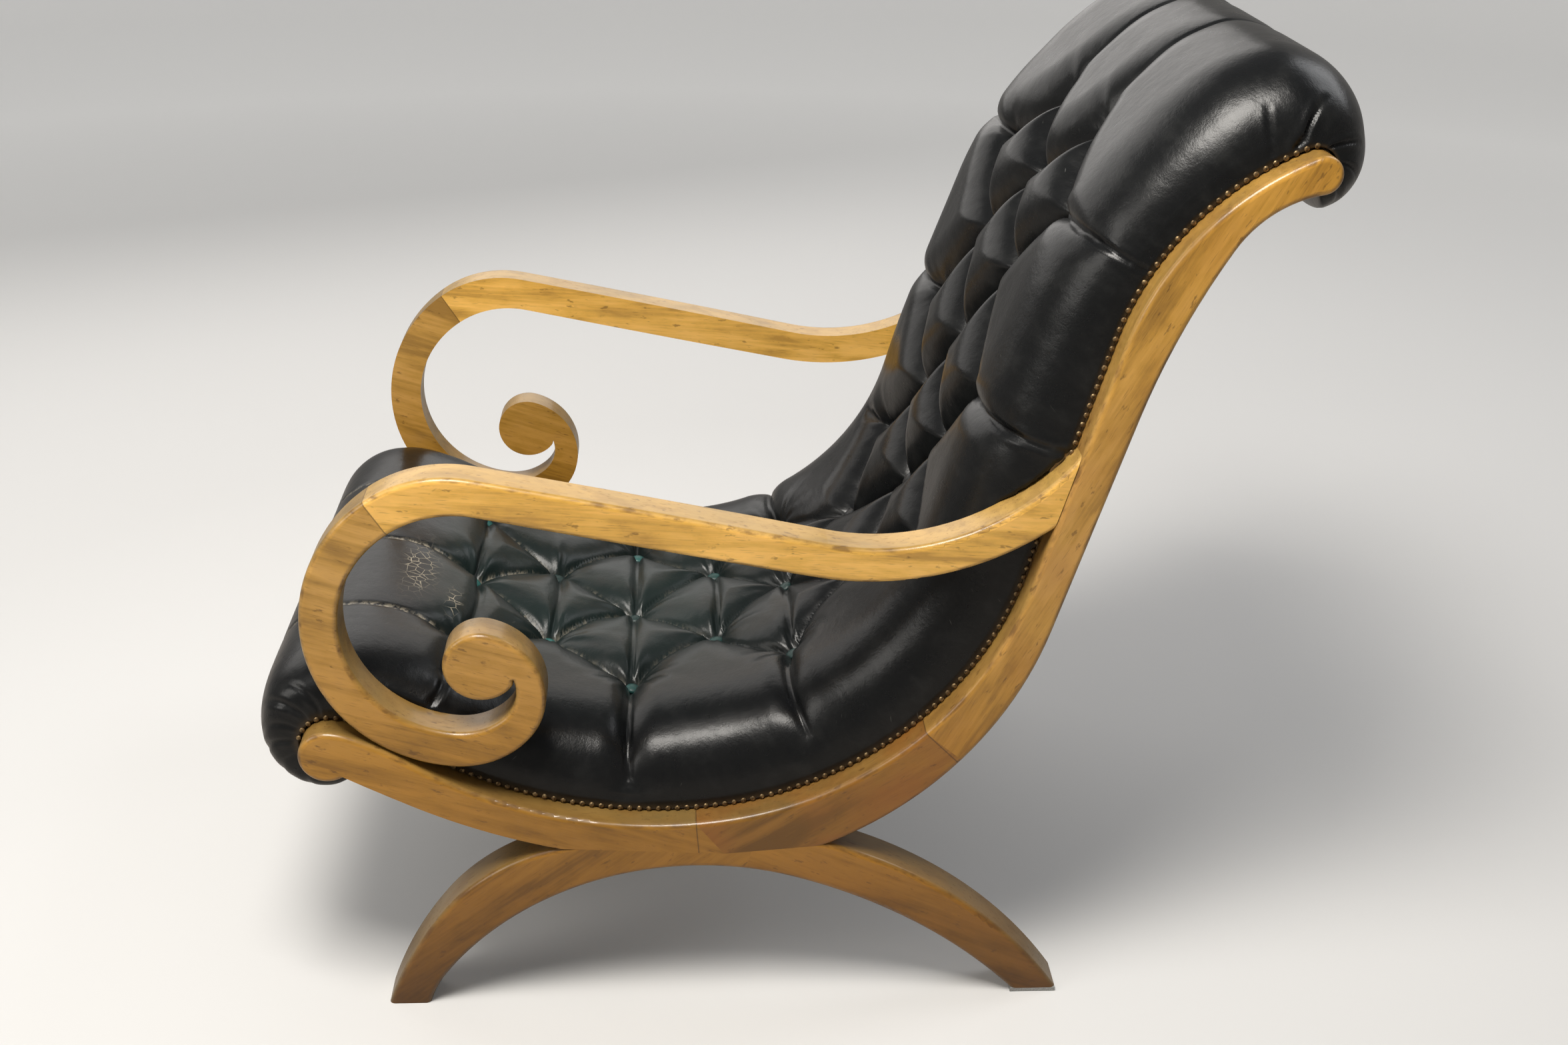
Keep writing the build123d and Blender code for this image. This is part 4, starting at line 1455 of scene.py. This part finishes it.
@dataclass
class Covers:
    """Cloth under the seat and behind the back, and webbing and hessian below the stuffing."""

    half: float = WIDTH / 2 - MEMBER - GAP
    inside: float = ARM_FACE - 2 * GAP
    strap_width: float = 0.050
    strap_space: float = 0.012
    strap_inset: float = 0.0002
    strap_thick: float = 0.0012
    columns: int = 41

    def sheets(self) -> list[Sheet]:
        """Every sheet, from the outside in."""
        grey, black = (0.045, 0.045, 0.045, 1), (0.015, 0.015, 0.015, 1)
        cotton = WovenCloth("black_under_cloth", grey, black, 900.0)
        hessian = WovenCloth("hessian", (0.46, 0.35, 0.19, 1), (0.16, 0.11, 0.05, 1), 420.0)
        outer = -STRIP_DEPTH - COVER
        inner = -STRIP_DEPTH - 0.0008
        under = (outer, inner, self.half, cotton)
        bed = STRIP_PROUD + WEBBING + GAP
        base = (bed, bed + 0.0009, self.inside, hessian)
        return [
            Sheet("black_bottom_cloth", "bottom_cover", "under_cloth", (2.22, 4.655), *under),
            Sheet("black_outside_back", "outside_back", "under_cloth", (4.665, 6.855), *under),
            Sheet("hessian_base", "base_cloth", "base_cloth", (2.22, 6.855), *base),
        ]

    def outline(
        self, span: Sequence[float], low: float, high: float, half: float, rows: int
    ) -> Band:
        """Rings of points round a sheet.

        Args:
            span: first and last place.
            low: height of the lower face.
            high: height of the upper face.
            half: half the width.
            rows: number of rings.

        Returns:
            The rings and the flat coordinates of their points.
        """
        place = np.linspace(*span, rows)
        x = np.linspace(-half, half, self.columns)
        under, over = (sections(x[None, :], place[:, None], height) for height in (low, high))
        run = lengths(SITTING.at(place, (low + high) / 2))
        wide = np.concatenate([x, x[::-1]])
        flat = np.stack(np.broadcast_arrays(wide[None, :], run[:, None]), -1)
        return np.concatenate([under, over[:, ::-1]], axis=1), flat

    def join(self, name: str, bands: Sequence[Band]) -> bpy.types.Object:
        """Make one piece of closed bands.

        Args:
            name: name of the piece.
            bands: rings and flat coordinates of each band.

        Returns:
            The piece with its map.
        """
        faces, count = [], 0
        for rings, _ in bands:
            own = closed_faces(*rings.shape[:2])
            faces += [tuple(count + k for k in reversed(face)) for face in own]
            count += rings.shape[0] * rings.shape[1]
        points = np.concatenate([rings.reshape(-1, 3) for rings, _ in bands])
        piece = mesh_piece(name, points, faces)
        keep_map(piece, np.concatenate([flat.reshape(-1, 2) for _, flat in bands]))
        return piece

    def hang(
        self,
        piece: bpy.types.Object,
        node: str,
        finish: bpy.types.Material,
        flat: Spot,
    ) -> None:
        """Args:
            piece: the sheet.
            node: solid that it replaces.
            finish: material.
            flat: its flat size, in metres.
        """
        piece.data.materials.append(finish)
        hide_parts(node)
        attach(piece, BODY)
        log.info("%s: %.3f x %.3f m", piece.name, *flat)

    def straps(
        self, name: str, node: str, first: float, last: float, finish: bpy.types.Material
    ) -> None:
        """Lay the straps of one stretch of webbing.

        Args:
            name: name of the piece.
            node: solid that it replaces.
            first: place where the stretch starts.
            last: place where it ends.
            finish: material.
        """
        fine = np.linspace(first, last, 4000)
        run = lengths(SITTING.at(fine))
        step = self.strap_width + self.strap_space
        low = STRIP_PROUD + self.strap_inset
        bands = []
        while (start := self.strap_space + len(bands) * step) + self.strap_width < run[-1]:
            ends = (start + self.strap_inset, start + self.strap_width - self.strap_inset)
            span = np.interp(ends, run, fine)
            bands.append(self.outline(span, low, low + self.strap_thick, self.inside, 9))
        piece = self.join(name, bands)
        self.hang(piece, node, finish, (2 * self.inside, len(bands) * self.strap_width))

    def build(self) -> None:
        """Make the sheets and the webbing."""
        for sheet in self.sheets():
            rings, flat = self.outline(sheet.span, sheet.low, sheet.high, sheet.half, 121)
            piece = self.join(sheet.name, [(rings, flat)])
            size = (2 * sheet.half, float(flat[-1, 0, 1]))
            self.hang(piece, sheet.node, sheet.finish.make(), size)
        jute = WovenCloth("jute_webbing", (0.50, 0.40, 0.24, 1), (0.20, 0.14, 0.07, 1), 300.0)
        finish = jute.make()
        self.straps("seat_webbing_straps", "seat_webbing", 2.0, 4.66, finish)
        self.straps("back_webbing_straps", "back_webbing", 4.66, 6.86, finish)


# ------------------------------------------------------------ frame


@dataclass(frozen=True)
class Member:
    """Show wood piece that comes once on each side."""

    stem: str
    grain: Grain
    # Painted light: this brightness multiplier stands in for how lit or shaded the piece is
    gain: float
    red: float = 0.0
    joints: tuple[tuple[np.ndarray, np.ndarray], ...] = ()

    def lines(self) -> tuple[tuple[float, float, float, float], ...]:
        """Joint lines in the frame of the part."""
        ends = [np.concatenate(joint) - (MIDDLE, 0, MIDDLE, 0) for joint in self.joints]
        return tuple(tuple(line.tolist()) for line in ends)


@dataclass
class ShowFrame:
    """Wooden frame, its hidden rails and its feet."""

    def members(self) -> list[Member]:
        """The show wood, from the seat rails to the scrolls."""
        scarf = (SITTING.at(3.92), SITTING.at(3.92, -0.050))
        stile = (SITTING.at(4.55), SITTING.at(4.55, -0.052))
        wrist = (ARM_OUTER.at(3.0), ARM_INNER.at(3.0))
        # The third number is each piece's painted light gain, highest on the lit arms
        return [
            Member("front_seat_rail", Grain.SEAT, 1.05, 0.0, (scarf,)),
            Member("rear_seat_rail", Grain.SWEEP, 0.80, 0.75, (scarf, stile)),
            Member("back_stile", Grain.STILE, 1.18, 0.40, (stile,)),
            Member("front_leg", Grain.LEG, 1.10),
            Member("rear_leg", Grain.HIND, 1.20, 0.15),
            Member("arm_rail", Grain.ARM, 1.62, 0.0, (wrist,)),
            Member("arm_scroll", Grain.SEAT, 1.05, 0.0, (wrist,)),
        ]

    def wear(self, node: str, finish: bpy.types.Material) -> None:
        """Put one finish on a frame node."""
        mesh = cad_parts[node].data
        mesh.materials.clear()
        mesh.materials.append(finish)

    def build(self) -> None:
        """Dress every node of the frame."""
        raw = RawWood("sawn_wood").make()
        felt = Felt("grey_felt").make()
        shift = 0.0
        for side in Side:
            start = side.name.lower() + "_"
            for member in self.members():
                shift += 1.37
                node = start + member.stem
                tone = (member.gain, member.red, member.lines())
                wood = PolishedWood("polished_" + node, member.grain, shift, *tone)
                self.wear(node, wood.make())
            for stem in ("seat_tacking_rail", "back_tacking_rail"):
                self.wear(start + stem, raw)
            self.wear(start + "rear_foot_pad", felt)
        self.wear("stretcher", PolishedWood("polished_stretcher", Grain.CROSS, 5.1).make())
        for node in ("front_cross_rail", "rear_seat_cross_rail", "waist_cross_rail", "crest_rail"):
            self.wear(node, raw)
        log.info("frame: %d nodes", len(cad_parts))


# ------------------------------------------------------------ studio


@dataclass(frozen=True)
class Lamp:
    """Soft rectangular lamp: where it hangs, where it points, its sides and its watts."""

    name: str
    spot: tuple[float, float, float]
    aim: tuple[float, float, float]
    size: tuple[float, float]
    power: float
    tint: tuple[float, float, float]


@dataclass
class Studio:
    """Camera, pale floor and soft lights."""

    lens: float = 42.09
    sensor: float = 36.0
    eye: tuple[float, float, float] = (1.712633, -0.041113 - MIDDLE, 1.148213)
    floor_flat: float = 5.5
    floor_bend: float = 1.5
    floor_top: float = 6.0
    floor_drop: float = 0.0002
    floor_turns: int = 96

    def camera(self) -> None:
        """Put the camera at the photograph's viewing angle."""
        data = bpy.data.cameras.new("camera")
        data.lens = self.lens
        data.sensor_width = self.sensor
        data.clip_start, data.clip_end = 0.05, 60
        camera = bpy.data.objects.new("camera", data)
        right = (0.05217618, 0.99847546, 0.01801129)
        up = (-0.41684247, 0.00538587, 0.90896278)
        back = (0.90748003, -0.05493407, 0.41648799)
        turn = Matrix((right, up, back)).transposed()
        camera.matrix_world = Matrix.Translation(self.eye) @ turn.to_4x4()
        bpy.context.scene.collection.objects.link(camera)
        bpy.context.scene.camera = camera

    def floor(self) -> None:
        """Lay a pale round floor that sweeps up far away."""
        angle = np.linspace(0, math.pi / 2, 13)[1:]
        flat, bend, turns = self.floor_flat, self.floor_bend, self.floor_turns
        profile = [(0.9, 0.0), (2.2, 0.0), (4.2, 0.0), (flat, 0.0)]
        profile += [(flat + bend * math.sin(a), bend - bend * math.cos(a)) for a in angle]
        profile += [(flat + bend, self.floor_top)]
        ways = np.arange(turns) * math.tau / turns
        points = [(0.0, 0.0, -self.floor_drop)]
        for r, z in profile:
            points += [(r * math.cos(a), r * math.sin(a), z - self.floor_drop) for a in ways]
        faces = [(0, 1 + k, 1 + (k + 1) % turns) for k in range(turns)]
        rings = ring_faces(len(profile), turns)
        faces += [tuple(1 + k for k in reversed(face)) for face in rings]
        paper = StudioPaper("studio_paper").make()
        mesh_piece("studio_floor", np.array(points), faces, paper)

    def lamp(self, light: Lamp) -> None:
        """Hang one soft lamp."""
        data = bpy.data.lights.new(light.name, "AREA")
        data.shape = "RECTANGLE"
        data.size, data.size_y = light.size
        data.energy = light.power
        data.color = light.tint
        lamp = bpy.data.objects.new(light.name, data)
        turn = (Vector(light.spot) - Vector(light.aim)).to_track_quat("Z", "Y")
        lamp.matrix_world = Matrix.Translation(light.spot) @ turn.to_matrix().to_4x4()
        bpy.context.scene.collection.objects.link(lamp)

    def lights(self) -> None:
        """Hang the lamps and set the world's own light."""
        for light in (
            Lamp("ceiling_lamp", (0.9, -0.5, 2.5), (0, 0, 0.4), (0.9, 0.9), 64, (1.0, 0.96, 0.90)),
            Lamp("front_lamp", (1.3, -2.6, 1.8), (0, 0, 0.4), (1.4, 1.4), 22, (1.0, 0.97, 0.92)),
            Lamp("wall_lamp", (-1.8, -0.8, 1.6), (0, 0, 0.6), (3.4, 1.6), 23, (1.0, 0.97, 0.94)),
            Lamp("rear_lamp", (-0.8, 1.9, 2.4), (0, 0.2, 0.6), (1.4, 1.4), 16, (0.97, 0.98, 1.0)),
        ):
            self.lamp(light)
        world = bpy.data.worlds.new("studio_air")
        world.use_nodes = True
        air = world.node_tree.nodes["Background"]
        air.inputs["Color"].default_value = (0.95, 0.97, 1.0, 1)
        air.inputs["Strength"].default_value = 0.17
        bpy.context.scene.world = world

    def build(self) -> None:
        """Set up the studio."""
        bpy.context.scene.view_settings.view_transform = "Standard"
        self.camera()
        self.floor()
        self.lights()


def main() -> None:
    """Build the chair's looks piece by piece."""
    logging.basicConfig(level=logging.INFO, format="%(name)s %(message)s")
    Studio().build()
    ShowFrame().build()
    pad = TuftedPad()
    pad.build()
    pad.dress()
    log.info("pad: %d faces", len(pad.piece.data.polygons))
    scatter = Scatter()
    Buttons().build(scatter, pad)
    NailRows().build(scatter)
    Covers().build()


if __name__ == "__main__":
    main()
